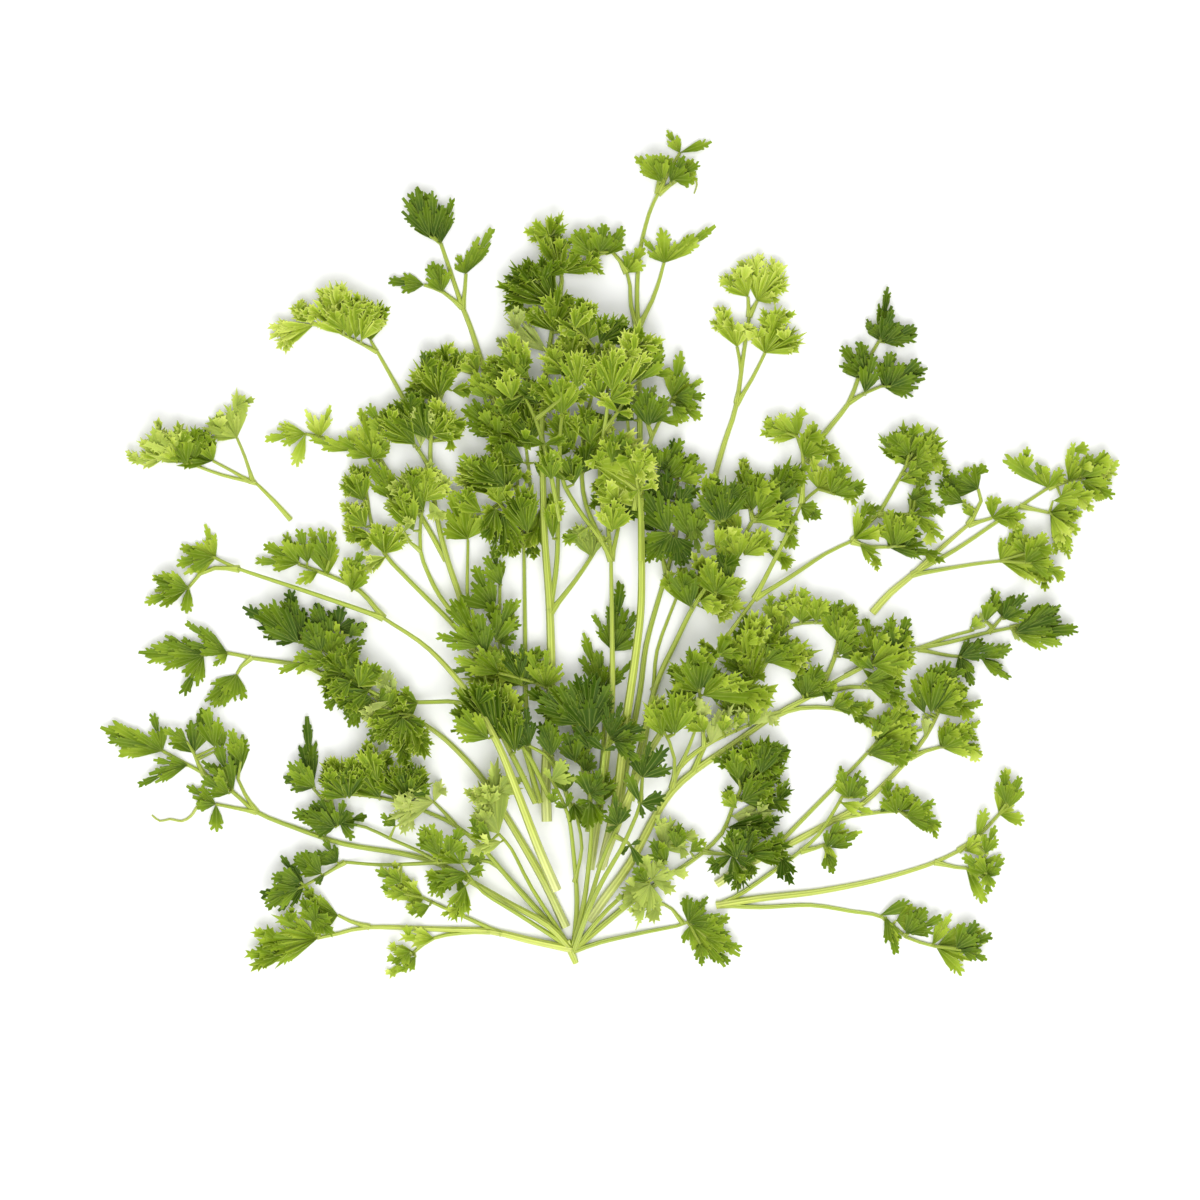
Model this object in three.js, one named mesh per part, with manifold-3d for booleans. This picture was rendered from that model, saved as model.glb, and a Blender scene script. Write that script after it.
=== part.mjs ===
// A fan-shaped bunch of curly parsley lying on a flat surface, in millimetres, +Z up.
// The bunch was laid leafy stem by leafy stem, so each stem rests on whatever lies under it.

import * as THREE from 'three';
import { mergeVertices } from 'three/addons/utils/BufferGeometryUtils.js';
import Module from 'manifold-3d';

// Driving dimensions.
const spread = 355; // tip to tip across the widest part of the fan
const bladeThickness = 0.75;
const armStart = 0.75; // an arm starts at this share of the way from the stem's thick end to its thin one
const armTip = 0.9; // and ends at this share of the stem's thin radius
const clearance = 0.45; // air kept between two stems that cross
const bladeClearance = 0.9; // and between a leaf blade and what lies under it
const straightness = 0.6; // a bar has no ring where it bends less than this
const stemSlope = 0.42; // steepest climb of a stem over what lies under it
const bladeSlope = 0.4; // steepest climb of a leaf blade from its root, above its own rise
const sisterSlope = 0.3; // and where it only has to clear a blade of its own stem
const perchGap = 0.1; // a blade starts this far above its stem
const bladeLift = 0.08; // how much a free blade rises towards its tips
const ruffle = 0.11; // height of the waves along a curly rim, as a share of the blade's length
const longNeck = 1.2; // a blade on a neck longer than this faces along it
const tipReach = 0.6; // a blade whose root is this near the tip of an arm is one piece with it
const inLineCosine = 0.5; // if it heads less than 60 degrees off it
const setback = 0.9; // and the arm's flat strip widens into the blade over this length
const hubAhead = 0.9; // a blade's hub stands this far past the thin radius of its stem
const rootDepth = 0.8; // a blade's root goes this far back through its stem
const wideHeading = 0.6; // a blade that opens this far both ways has a pointed root
const neckWidth = 0.8; // the narrow root of a blade, sunk in its stem
const thickStem = 0.95; // stems of a larger radius than this get four sides, the others three

// The layout sheet: plan positions are whole units, y grows down the sheet.
const sheetSpread = 1013; // units across the same widest part
const sheetMiddle = [611.5, 553];
const unit = spread / sheetSpread;

// The crown, where most stems of the fan grow from one short cut stub.
const crownAt = [573, 949];
const crownEnd = [578, 963];
const crownHeight = 1.7;
const crownLoose = 0.9; // the stems start this loosely about the crown
const crownRadius = 26; // mm round the crown within which its own stems may touch

const joinTolerance = 0.06; // leftovers of a join that are smaller than this are merged
const weldTolerance = 1e-5; // corners nearer than this are one

// Shape of the cut rim of a blade. A tooth is its turn from the lobe's middle as a share of the
// half spread, its share of the lobe's reach, and its share of the wave.
const wideLobe = 27; // a lobe wider than this many units has three teeth
const midLobe = 16.5; // and one wider than this has two
const notchReach = 0.8; // notch between two teeth, as a share of the lobe's reach
const valleyReach = 0.55; // cut between two lobes that touch
const openValleyReach = 0.3; // cut between two lobes that stand apart
const openAngle = 0.45; // radians between lobes that stand apart
const threeTeeth = (flip) => [
  [-0.86, 0.9, 1],
  [-0.42, notchReach, -flip],
  [0, 1, flip],
  [0.42, notchReach, 0.8],
  [0.86, 0.88, -0.6],
];
const twoTeeth = (flip) => [[-0.7, 0.86, flip], [0, 1, -flip * 0.6], [0.7, 0.86, flip]];
const loneTooth = (flip) => [[-1, 0.7, 0], [0, 1, flip], [1, 0.7, 0]];
const oneTooth = (flip) => [[0, 1, flip]];

// The height map that the stems settle on.
const cell = 0.8;
const halfMap = 200;
const mapSide = Math.round(2 * halfMap / cell);
const rootZone = 2.4; // a blade may touch its sisters this near its root
const settlePasses = 200;
const gentlePasses = 0.8 * settlePasses;
const gentleStep = 0.1; // share of a lack that one gentle pass makes up
const sag = 0.98; // and what it leaves of each height first, so nothing hangs above its rest
const shortLink = 0.5; // a shorter link may climb as much as one of this length
const pinnedShare = 0.4; // a place that leans this much on a fixed point is left as it is
const outerShare = 0.1; // and one that leans less than this on a blade's rim doesn't lift it
const barSlack = 1.15; // cells whose middle is this many cells beyond a bar still count as under it
const triangleSlack = 0.75; // and the same for a triangle

// Each leafy stem, from the lowest in the pile to the topmost. Radii are at the cut end and at
// the leaves. An arm branches off the stem. A leaf is its root, then one [x, y, half spread in
// degrees] for the tip of each lobe. Tone runs from pale (0) to dark (1), crisp from flat to curly.
const sprigs = [
  {
    name: 'loose_west', tone: 0.12, crisp: 0.5, radii: [2.3, 1.3],
    stem: [[291, 519], [275, 501], [256, 482]],
    arms: [[[256, 482], [222, 474], [188, 462], [165, 457]], [[251, 480], [232, 470], [213, 460]],
      [[254, 478], [245, 456], [237, 437]]],
    leaves: [[[237, 437], [207, 419, 30], [237, 392, 15]], [[213, 460], [198, 430, 28], [168, 447, 24]],
      [[188, 462], [180, 427, 26], [150, 436, 22]], [[165, 457], [131, 461, 16], [146, 442, 14]]],
  },
  {
    name: 'loose_east', tone: 0.34, crisp: 0.45, radii: [3.4, 1.5],
    stem: [[872, 612], [890, 592], [912, 574], [940, 548], [968, 524]],
    arms: [[[912, 574], [955, 549], [995, 522], [1022, 504], [1048, 487]],
      [[913, 577], [945, 568], [975, 563], [1000, 560]], [[968, 524], [981, 500], [978, 488]],
      [[968, 524], [992, 517]], [[1020, 506], [1050, 512]], [[1048, 487], [1068, 480], [1085, 476]]],
    leaves: [[[978, 488], [938, 483, 18], [958, 470, 9], [975, 465, 12]], [[972, 516], [962, 500, 20]],
      [[992, 517], [991, 494, 14], [1022, 514, 30]],
      [[1048, 487], [1036, 463, 20], [1008, 458, 7], [1062, 470, 16]],
      [[1068, 480], [1073, 441, 11], [1088, 456, 18]], [[1085, 476], [1116, 462, 28], [1108, 492, 20]],
      [[1050, 512], [1079, 512, 32], [1068, 556, 10]],
      [[1000, 560], [1014, 530, 20], [1043, 537, 14], [1056, 570, 20]]],
  },
  {
    name: 'north_east_pale', tone: 0.2, crisp: 0.8, radii: [2.8, 1.5],
    stem: [[705, 522], [715, 475], [725, 440], [736, 405], [744, 350], [749, 316]],
    arms: [[[737, 402], [741, 372], [737, 346]], [[737, 404], [752, 378], [765, 352]],
      [[749, 316], [748, 296]], [[749, 316], [757, 300]]],
    leaves: [[[737, 346], [716, 308, 13], [731, 318, 14], [746, 322, 16]],
      [[765, 352], [753, 327, 20], [777, 308, 20], [802, 334, 20]],
      [[748, 296], [721, 276, 16], [738, 264, 18]],
      [[757, 300], [755, 253, 16], [784, 266, 22], [778, 294, 18]]],
  },
  {
    name: 'north_east_dark', tone: 0.75, crisp: 0.3, radii: [2.6, 1.4],
    stem: [[806, 462], [822, 436], [848, 403], [858, 378], [872, 352], [879, 340]],
    arms: [[[849, 402], [865, 392], [882, 385]]],
    leaves: [[[858, 378], [844, 350, 24], [866, 346, 18]],
      [[882, 385], [893, 354, 20], [926, 370, 22], [913, 393, 10]],
      [[879, 340], [866, 319, 16], [889, 286, 9], [916, 331, 24]]],
  },
  {
    name: 'north_west_pale', tone: 0.15, crisp: 0.9, radii: [2.4, 1.3],
    stem: [[432, 440], [412, 412], [395, 382], [378, 352], [371, 340]],
    arms: [[[377, 351], [352, 338], [330, 327], [314, 324]]],
    leaves: [[[371, 340], [380, 301, 18], [357, 298, 24]], [[345, 334], [331, 283, 24], [314, 308, 18]],
      [[314, 324], [296, 301, 20], [270, 337, 18]]],
  },
  {
    name: 'far_east_low', tone: 0.68, crisp: 0.3, radii: [2.4, 1.4],
    stem: [[845, 675], [880, 657], [915, 648], [950, 641], [985, 632], [1010, 627]],
    arms: [[[918, 648], [945, 637], [974, 629]], [[918, 649], [952, 655], [980, 656]],
      [[988, 631], [1002, 616]], [[1010, 627], [1030, 621]]],
    leaves: [[[974, 629], [984, 612, 26]], [[1002, 616], [991, 587, 12], [1014, 596, 22]],
      [[1010, 627], [1028, 641, 18]], [[1030, 621], [1053, 606, 22], [1075, 630, 12], [1057, 641, 12]],
      [[958, 655], [983, 640, 24], [970, 682, 22]], [[980, 656], [1009, 648, 12], [1009, 676, 12]]],
  },
  {
    name: 'west_flat', tone: 0.85, crisp: 0.08, radii: [2.2, 1.4],
    stem: [[372, 686], [352, 668], [330, 652], [302, 638]],
    arms: [[[340, 659], [339, 643], [338, 628]]],
    leaves: [[[302, 638], [290, 593, 19], [245, 607, 13], [266, 637, 11]],
      [[338, 628], [317, 605, 18], [342, 606, 13], [365, 625, 24]]],
  },
  {
    name: 'west_low', tone: 0.5, crisp: 0.1, radii: [2.6, 1.5],
    stem: [[380, 706], [352, 690], [322, 673], [300, 664], [252, 657], [228, 652], [204, 654]],
    arms: [[[252, 657], [241, 666], [237, 673]]],
    leaves: [[[204, 654], [165, 634, 10], [145, 651, 18], [184, 692, 18]],
      [[228, 652], [185, 620, 9], [188, 642, 14]], [[228, 653], [214, 664, 22]],
      [[237, 673], [213, 706, 28], [245, 699, 8]]],
  },
  {
    name: 'west_pale', tone: 0.25, crisp: 0.2, radii: [1.8, 1.2],
    stem: [[380, 700], [360, 680], [342, 664], [322, 655]],
    arms: [[[348, 669], [343, 658], [341, 648]]],
    leaves: [[[322, 655], [313, 624, 15], [282, 669, 13]], [[341, 648], [336, 622, 20]]],
  },
  {
    name: 'centre_right', tone: 0.85, crisp: 0.35, radii: [3.0, 1.6],
    stem: [[618, 815], [630, 745], [640, 690], [646, 645], [658, 600], [670, 560], [677, 525],
      [677, 472]],
    arms: [[[671, 556], [686, 540], [692, 522]], [[666, 572], [660, 548], [655, 530]]],
    leaves: [[[677, 472], [650, 446, 18], [672, 437, 16], [696, 455, 20]],
      [[692, 522], [684, 500, 16], [712, 502, 16], [698, 550, 16]],
      [[655, 530], [645, 556, 16], [640, 520, 14], [668, 508, 14]],
      [[676, 500], [656, 484, 14], [700, 486, 12]]],
  },
  {
    name: 'behind_centre', tone: 0.6, crisp: 0.2, radii: [2.2, 1.3],
    stem: [[596, 830], [602, 760], [606, 700], [613, 650]],
    arms: [[[604, 715], [602, 690]]],
    leaves: [[[613, 650], [594, 612, 10], [620, 582, 11], [637, 612, 12], [636, 640, 10]],
      [[602, 690], [582, 634, 12], [600, 650, 14], [634, 660, 10]]],
  },
  {
    name: 'north_west_dark', tone: 0.6, crisp: 0.2, radii: [2.9, 1.6],
    stem: [[500, 418], [482, 362], [470, 325], [462, 305], [452, 275], [441, 243]],
    arms: [[[462, 307], [443, 291], [424, 284]], [[463, 307], [465, 288], [466, 273]]],
    leaves: [[[441, 243], [410, 216, 9], [418, 189, 18], [452, 196, 8]], [[443, 291], [433, 262, 34]],
      [[424, 284], [390, 281, 22]], [[466, 273], [457, 254, 26], [477, 240, 12], [493, 227, 9]]],
  },
  {
    name: 'centre_left', tone: 0.58, crisp: 0.9, radii: [2.6, 1.4],
    stem: [[538, 802], [530, 760], [526, 700], [525, 620], [524, 545]],
    arms: [[[524, 545], [508, 515], [497, 495]], [[524, 545], [519, 510], [517, 470]],
      [[524, 545], [531, 500], [526, 446], [522, 420]], [[524, 545], [536, 528], [540, 510]]],
    leaves: [[[497, 495], [458, 470, 14], [478, 460, 14], [504, 460, 16]],
      [[508, 515], [488, 532, 18], [482, 510, 10]], [[517, 470], [490, 446, 18], [530, 480, 10]],
      [[526, 446], [484, 430, 14], [498, 408, 16], [540, 420, 14]],
      [[522, 420], [505, 392, 18], [530, 388, 18]], [[540, 510], [530, 552, 14], [560, 495, 16]],
      [[520, 532], [512, 556, 16]]],
  },
  {
    name: 'centre_thick', tone: 0.55, crisp: 0.9, radii: [4.6, 1.8],
    stem: [[547, 820], [546, 770], [551, 690], [550, 610], [545, 540], [543, 480], [542, 420],
      [546, 370], [552, 330], [558, 300]],
    arms: [[[550, 610], [557, 560], [558, 500], [558, 456]],
      [[551, 612], [575, 580], [590, 558], [598, 545]], [[558, 300], [562, 280], [561, 272]],
      [[544, 400], [520, 370], [508, 350]]],
    leaves: [[[561, 272], [545, 222, 16], [562, 240, 12], [580, 252, 12], [601, 262, 10]],
      [[556, 305], [528, 258, 10], [543, 256, 8], [512, 266, 12], [495, 286, 10]],
      [[552, 330], [524, 306, 16], [582, 302, 18], [560, 284, 12]],
      [[548, 352], [508, 322, 13], [590, 330, 16]], [[508, 350], [500, 338, 18], [528, 340, 16]],
      [[520, 370], [482, 368, 16], [500, 392, 14]],
      [[558, 456], [540, 448, 16], [572, 440, 18], [545, 470, 12]],
      [[592, 556], [576, 524, 18], [600, 528, 14]]],
  },
  {
    name: 'centre_mid', tone: 0.5, crisp: 0.9, radii: [3.8, 1.6],
    stem: [[590, 868], [598, 815], [606, 760], [612, 700], [612, 630], [611, 560]],
    arms: [
      [[611, 560], [602, 541], [585, 518], [570, 495], [562, 476], [560, 440], [564, 400], [570, 370]],
      [[602, 541], [590, 515], [583, 490], [582, 450], [588, 410], [596, 380]],
      [[611, 560], [608, 525], [608, 503]], [[611, 560], [618, 528], [621, 510]]],
    leaves: [[[570, 370], [548, 345, 16], [572, 332, 16], [598, 345, 16]],
      [[564, 400], [535, 385, 16], [540, 410, 12], [590, 395, 12]],
      [[596, 380], [588, 350, 14], [615, 340, 16], [622, 370, 14]],
      [[588, 410], [610, 425, 14], [575, 420, 12]], [[582, 450], [600, 440, 14], [574, 462, 12]],
      [[564, 480], [552, 470, 14], [574, 476, 12]], [[608, 503], [598, 478, 18], [590, 500, 12]],
      [[621, 510], [600, 520, 14], [625, 488, 22], [634, 512, 12]]],
  },
  {
    name: 'centre_tall', tone: 0.3, crisp: 0.25, radii: [4.4, 1.5],
    stem: [[602, 864], [616, 800], [626, 720], [636, 650], [641, 600], [641, 520], [640, 450],
      [639, 380], [638, 326], [637, 290], [640, 250], [649, 213], [658, 193]],
    arms: [[[638, 328], [631, 305], [630, 285], [627, 272]],
      [[638, 328], [652, 300], [660, 277], [664, 262]], [[627, 272], [620, 260], [612, 251]],
      [[658, 193], [659, 173]], [[658, 193], [668, 172], [680, 152]],
      [[658, 193], [669, 185], [678, 179]]],
    leaves: [[[627, 272], [643, 248, 30]], [[612, 251], [574, 238, 18], [590, 226, 12], [622, 228, 18]],
      [[664, 262], [646, 240, 16], [664, 228, 10], [690, 236, 14], [714, 227, 8]],
      [[659, 173], [636, 158, 24]], [[668, 172], [666, 155, 18]],
      [[678, 179], [693, 158, 26], [697, 176, 18]], [[680, 152], [668, 130, 20], [711, 140, 8]]],
  },
  {
    name: 'north_right_flat', tone: 0.45, crisp: 0.35, radii: [2.4, 1.4],
    stem: [[634, 510], [640, 470], [652, 436], [664, 412], [672, 398]],
    arms: [[[638, 480], [630, 440], [627, 408], [634, 384], [652, 374]],
      [[652, 436], [646, 420], [643, 408]]],
    leaves: [[[672, 398], [680, 356, 20], [702, 380, 12], [701, 408, 16]],
      [[652, 374], [640, 345, 18], [660, 342, 16], [672, 372, 12]],
      [[643, 408], [630, 390, 16], [655, 385, 16]], [[660, 420], [683, 420, 12]],
      [[627, 408], [608, 402, 12]]],
  },
  {
    name: 'top_dark', tone: 0.78, crisp: 0.9, radii: [2.2, 1.3],
    stem: [[560, 520], [548, 460], [536, 420], [524, 395], [516, 380]],
    arms: [[[536, 420], [560, 400], [580, 380]]],
    leaves: [[[516, 380], [488, 370, 16], [506, 352, 18], [530, 358, 16]],
      [[524, 398], [500, 412, 16], [540, 396, 12]],
      [[580, 380], [560, 368, 16], [590, 362, 14], [604, 385, 12]],
      [[545, 445], [520, 440, 16], [566, 440, 14]]],
  },
  {
    name: 'top_curl', tone: 0.5, crisp: 1.0, radii: [2.4, 1.4],
    stem: [[604, 520], [600, 470], [604, 430], [608, 400], [606, 372]],
    arms: [[[604, 430], [622, 405], [628, 385]], [[606, 372], [596, 350], [588, 340]]],
    leaves: [[[588, 340], [560, 320, 18], [585, 302, 16], [605, 322, 16]],
      [[606, 372], [588, 362, 14], [612, 345, 18]],
      [[628, 385], [618, 352, 16], [645, 352, 16], [640, 330, 8]],
      [[618, 412], [600, 398, 14], [634, 415, 12]]],
  },
  {
    name: 'bright_right', tone: 0.18, crisp: 0.8, radii: [2.2, 1.3],
    stem: [[640, 560], [640, 520], [638, 490], [636, 478]],
    arms: [[[638, 490], [622, 478], [612, 468]]],
    leaves: [[[636, 478], [626, 444, 18], [648, 450, 16], [652, 470, 14]],
      [[612, 468], [590, 455, 16], [606, 436, 16], [600, 486, 12]],
      [[638, 490], [628, 498, 14], [655, 484, 8]]],
  },
  {
    name: 'upper_west_pale', tone: 0.15, crisp: 0.35, radii: [2.4, 1.4],
    stem: [[446, 560], [424, 520], [400, 486], [374, 456], [350, 447], [328, 438], [306, 433]],
    arms: [[[390, 473], [378, 452]]],
    leaves: [[[306, 433], [267, 437, 17], [281, 423, 8], [296, 467, 9]],
      [[320, 436], [307, 410, 15], [332, 404, 11]], [[350, 447], [356, 426, 16], [340, 438, 10]],
      [[376, 453], [363, 410, 14], [388, 440, 20]]],
  },
  {
    name: 'upper_west_curl', tone: 0.64, crisp: 1.0, radii: [3.0, 1.6],
    stem: [[473, 650], [462, 602], [448, 560], [438, 520], [432, 480], [431, 440], [438, 400]],
    arms: [[[438, 400], [450, 378], [461, 369], [476, 374]], [[432, 470], [418, 448], [409, 438]]],
    leaves: [[[438, 399], [409, 382, 16], [420, 358, 18]], [[452, 376], [442, 347, 22], [466, 350, 18]],
      [[452, 390], [474, 388, 22]], [[409, 438], [383, 412, 22], [405, 400, 18]],
      [[421, 446], [424, 410, 18]], [[432, 434], [442, 402, 18], [463, 417, 14], [458, 440, 8]]],
  },
  {
    name: 'mid_west_curl', tone: 0.5, crisp: 1.0, radii: [2.4, 1.4],
    stem: [[478, 652], [452, 622], [428, 598], [402, 572], [385, 553], [372, 525], [368, 500],
      [366, 488]],
    arms: [],
    leaves: [[[366, 488], [339, 486, 20], [357, 463, 22]], [[370, 512], [342, 509, 18], [364, 500, 10]],
      [[375, 536], [345, 532, 18], [362, 548, 16]], [[385, 553], [378, 522, 22], [404, 528, 22]],
      [[386, 556], [364, 567, 20]]],
  },
  {
    name: 'mid_west_bright', tone: 0.38, crisp: 0.8, radii: [2.2, 1.3],
    stem: [[458, 618], [440, 595], [428, 572], [421, 550], [421, 520], [425, 498]],
    arms: [[[421, 550], [410, 541], [405, 531]]],
    leaves: [[[425, 498], [394, 481, 18], [410, 465, 14], [432, 461, 16], [452, 480, 16]],
      [[422, 512], [391, 500, 15], [404, 515, 8]], [[430, 500], [440, 520, 14]],
      [[405, 531], [412, 518, 14]]],
  },
  {
    name: 'mid_west_small', tone: 0.3, crisp: 0.4, radii: [1.9, 1.2],
    stem: [[474, 648], [468, 600], [468, 540]],
    arms: [],
    leaves: [[[468, 538], [445, 528, 14], [450, 494, 18], [474, 498, 12], [488, 516, 12]]],
  },
  {
    name: 'inner_west_flat', tone: 0.5, crisp: 0.15, radii: [2.4, 1.4],
    stem: [[541, 801], [522, 740], [506, 690], [500, 640], [500, 585]],
    arms: [],
    leaves: [[[500, 585], [494, 547, 15]], [[495, 608], [474, 565, 18], [462, 598, 9]],
      [[500, 634], [491, 603, 11], [519, 599, 13], [523, 621, 8]]],
  },
  {
    name: 'inner_west_mid', tone: 0.6, crisp: 0.25, radii: [2.4, 1.4],
    stem: [[552, 800], [528, 752], [508, 726], [492, 700], [482, 660], [482, 645]],
    arms: [],
    leaves: [[[482, 645], [452, 600, 18], [439, 635, 14], [470, 625, 12]],
      [[484, 668], [455, 668, 16], [500, 650, 14]], [[492, 700], [455, 690, 18], [505, 675, 16]],
      [[505, 724], [456, 710, 12], [456, 730, 10], [525, 692, 14]]],
  },
  {
    name: 'west_band', tone: 0.72, crisp: 1.0, radii: [2.6, 1.5],
    stem: [[536, 801], [515, 758], [492, 718], [462, 701], [420, 701], [392, 698], [368, 688],
      [345, 672]],
    arms: [],
    leaves: [[[418, 702], [402, 688, 16], [392, 722, 20]], [[395, 699], [382, 672, 22], [366, 724, 22]],
      [[370, 689], [362, 664, 20], [340, 704, 22]],
      [[348, 674], [352, 648, 22], [322, 690, 18], [324, 652, 18]]],
  },
  {
    name: 'west_mid', tone: 0.66, crisp: 0.9, radii: [4.0, 1.8],
    stem: [[566, 926], [545, 882], [520, 838], [498, 802], [478, 772], [445, 738], [412, 714]],
    arms: [],
    leaves: [[[412, 714], [422, 738, 18], [396, 742, 18], [378, 730, 12]],
      [[410, 716], [428, 752, 8], [402, 758, 12]]],
  },
  {
    name: 'west_arch', tone: 0.3, crisp: 0.35, radii: [4.4, 1.6],
    stem: [[557, 888], [540, 848], [518, 790], [498, 740], [470, 693], [430, 648], [384, 617]],
    arms: [[[384, 617], [350, 605], [300, 588], [240, 568], [216, 557]],
      [[240, 568], [215, 567], [200, 573], [189, 586]], [[384, 617], [360, 590], [328, 574], [298, 563]]],
    leaves: [[[216, 557], [205, 525, 13], [180, 545, 18], [186, 573, 14]],
      [[189, 586], [153, 576, 13], [146, 602, 16], [186, 613, 11]],
      [[298, 563], [286, 533, 20], [258, 560, 15]], [[328, 574], [311, 529, 13], [334, 531, 12]],
      [[318, 571], [297, 582, 20]], [[352, 590], [346, 560, 14], [368, 574, 12]],
      [[350, 586], [346, 556, 18], [366, 568, 14]]],
  },
  {
    name: 'east_small', tone: 0.32, crisp: 0.7, radii: [2.2, 1.3],
    stem: [[632, 800], [645, 742], [653, 690], [657, 650], [672, 608], [676, 598]],
    arms: [[[653, 690], [675, 645], [692, 608], [698, 600]]],
    leaves: [[[676, 598], [664, 572, 16], [688, 570, 16]],
      [[698, 600], [685, 575, 16], [704, 560, 16], [724, 575, 16], [742, 588, 10]],
      [[700, 606], [727, 612, 12], [742, 604, 8]]],
  },
  {
    name: 'east_bright', tone: 0.48, crisp: 0.5, radii: [3.0, 1.5],
    stem: [[626, 810], [640, 748], [656, 684], [676, 640], [694, 604], [714, 575], [736, 551],
      [753, 519], [776, 499]],
    arms: [[[736, 551], [750, 547], [764, 547]], [[753, 519], [748, 500], [746, 490]],
      [[753, 519], [770, 520], [786, 526]], [[722, 566], [716, 540], [716, 520]]],
    leaves: [[[776, 499], [778, 462, 14], [798, 464, 14], [800, 485, 12]],
      [[746, 490], [740, 458, 14], [762, 474, 14]], [[748, 508], [728, 482, 16], [712, 500, 12]],
      [[760, 513], [792, 508, 14]], [[786, 526], [799, 530, 14], [794, 548, 12]],
      [[746, 548], [728, 530, 18], [770, 532, 18]], [[764, 547], [794, 562, 8]],
      [[716, 520], [700, 478, 14], [720, 482, 12], [704, 512, 12]],
      [[716, 545], [722, 528, 18], [704, 548, 12]]],
  },
  {
    name: 'east_fan', tone: 0.4, crisp: 0.5, radii: [4.0, 1.6],
    stem: [[600, 866], [628, 795], [652, 745], [680, 705], [703, 672], [722, 642], [754, 598]],
    arms: [[[754, 598], [775, 557], [790, 527], [801, 503], [818, 488]],
      [[754, 598], [790, 576], [825, 553], [852, 540]],
      [[801, 503], [803, 470], [802, 452], [797, 436]],
      [[852, 540], [865, 525], [878, 513], [892, 490], [906, 465]],
      [[878, 513], [895, 514], [912, 513]], [[852, 541], [870, 546], [888, 546]]],
    leaves: [[[797, 436], [760, 431, 16], [776, 415, 12], [797, 411, 12]],
      [[803, 456], [808, 424, 16], [826, 432, 12], [838, 452, 12]],
      [[818, 488], [812, 458, 18], [838, 464, 18], [862, 485, 16]], [[801, 503], [817, 511, 18]],
      [[854, 538], [868, 500, 14], [882, 530, 12]], [[860, 544], [880, 563, 18]],
      [[888, 546], [893, 516, 14], [916, 528, 16], [934, 552, 12]],
      [[912, 513], [918, 484, 18], [943, 508, 14], [944, 540, 10]], [[900, 480], [925, 474, 20]],
      [[906, 465], [880, 434, 14], [904, 424, 16], [935, 432, 18], [945, 460, 16]],
      [[906, 460], [892, 458, 14]]],
  },
  {
    name: 'south_east_pale', tone: 0.33, crisp: 0.45, radii: [3.6, 1.6],
    stem: [[716, 883], [750, 862], [795, 840], [830, 821], [862, 803], [885, 782], [909, 757],
      [926, 735], [938, 712]],
    arms: [[[770, 851], [795, 826], [840, 780], [858, 762], [876, 742]],
      [[832, 820], [850, 815], [880, 811], [900, 810]], [[909, 757], [925, 750], [940, 746]]],
    leaves: [[[876, 742], [880, 714, 12], [905, 706, 18], [918, 730, 12]], [[868, 753], [915, 748, 12]],
      [[900, 810], [897, 782, 14], [918, 795, 14], [938, 826, 12]], [[880, 811], [890, 800, 20]],
      [[938, 712], [918, 676, 14], [938, 660, 16], [958, 680, 16], [978, 703, 12]],
      [[925, 736], [925, 715, 10]], [[940, 746], [949, 718, 16], [975, 722, 14], [980, 745, 14]]],
  },
  {
    name: 'south_east_long', tone: 0.3, crisp: 0.3, radii: [3.4, 1.6],
    stem: [[716, 904], [760, 897], [820, 890], [880, 878], [930, 863], [958, 850]],
    arms: [[[720, 902], [745, 890], [780, 865], [800, 850], [818, 833], [832, 812], [842, 795]],
      [[718, 905], [760, 906], [810, 904], [850, 910], [882, 916], [906, 936], [934, 945]],
      [[800, 850], [815, 847], [826, 843]], [[958, 850], [975, 837], [990, 823], [999, 813]],
      [[935, 862], [955, 866], [966, 867]]],
    leaves: [[[842, 795], [840, 766, 14], [860, 770, 14], [868, 789, 12]], [[840, 801], [871, 811, 14]],
      [[828, 838], [845, 822, 18], [859, 831, 12]], [[828, 843], [832, 868, 18]],
      [[966, 850], [983, 834, 24], [995, 845, 16]], [[976, 836], [985, 806, 9]],
      [[999, 813], [1006, 770, 13], [1020, 787, 11], [1014, 803, 12], [1025, 820, 12]],
      [[966, 867], [1000, 857, 14], [988, 878, 18], [985, 904, 7]], [[880, 914], [909, 901, 11]],
      [[896, 919], [925, 908, 22], [926, 930, 18]], [[884, 917], [897, 944, 16]],
      [[932, 944], [950, 912, 13]], [[936, 946], [984, 930, 20], [980, 952, 13], [963, 972, 8]]],
  },
  {
    name: 'east_main', tone: 0.42, crisp: 0.5, radii: [4.2, 1.7],
    stem: [[589, 920], [604, 898], [630, 862], [655, 815], [672, 790], [694, 770], [730, 745],
      [775, 714], [812, 694], [850, 672], [885, 656]],
    arms: [[[820, 688], [834, 658], [838, 640], [837, 626]], [[812, 694], [850, 686], [872, 687]],
      [[775, 714], [800, 707], [832, 707], [860, 714]],
      [[694, 770], [706, 742], [730, 708], [760, 672], [782, 632], [802, 622], [824, 622]],
      [[885, 656], [874, 640], [872, 625]]],
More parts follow.
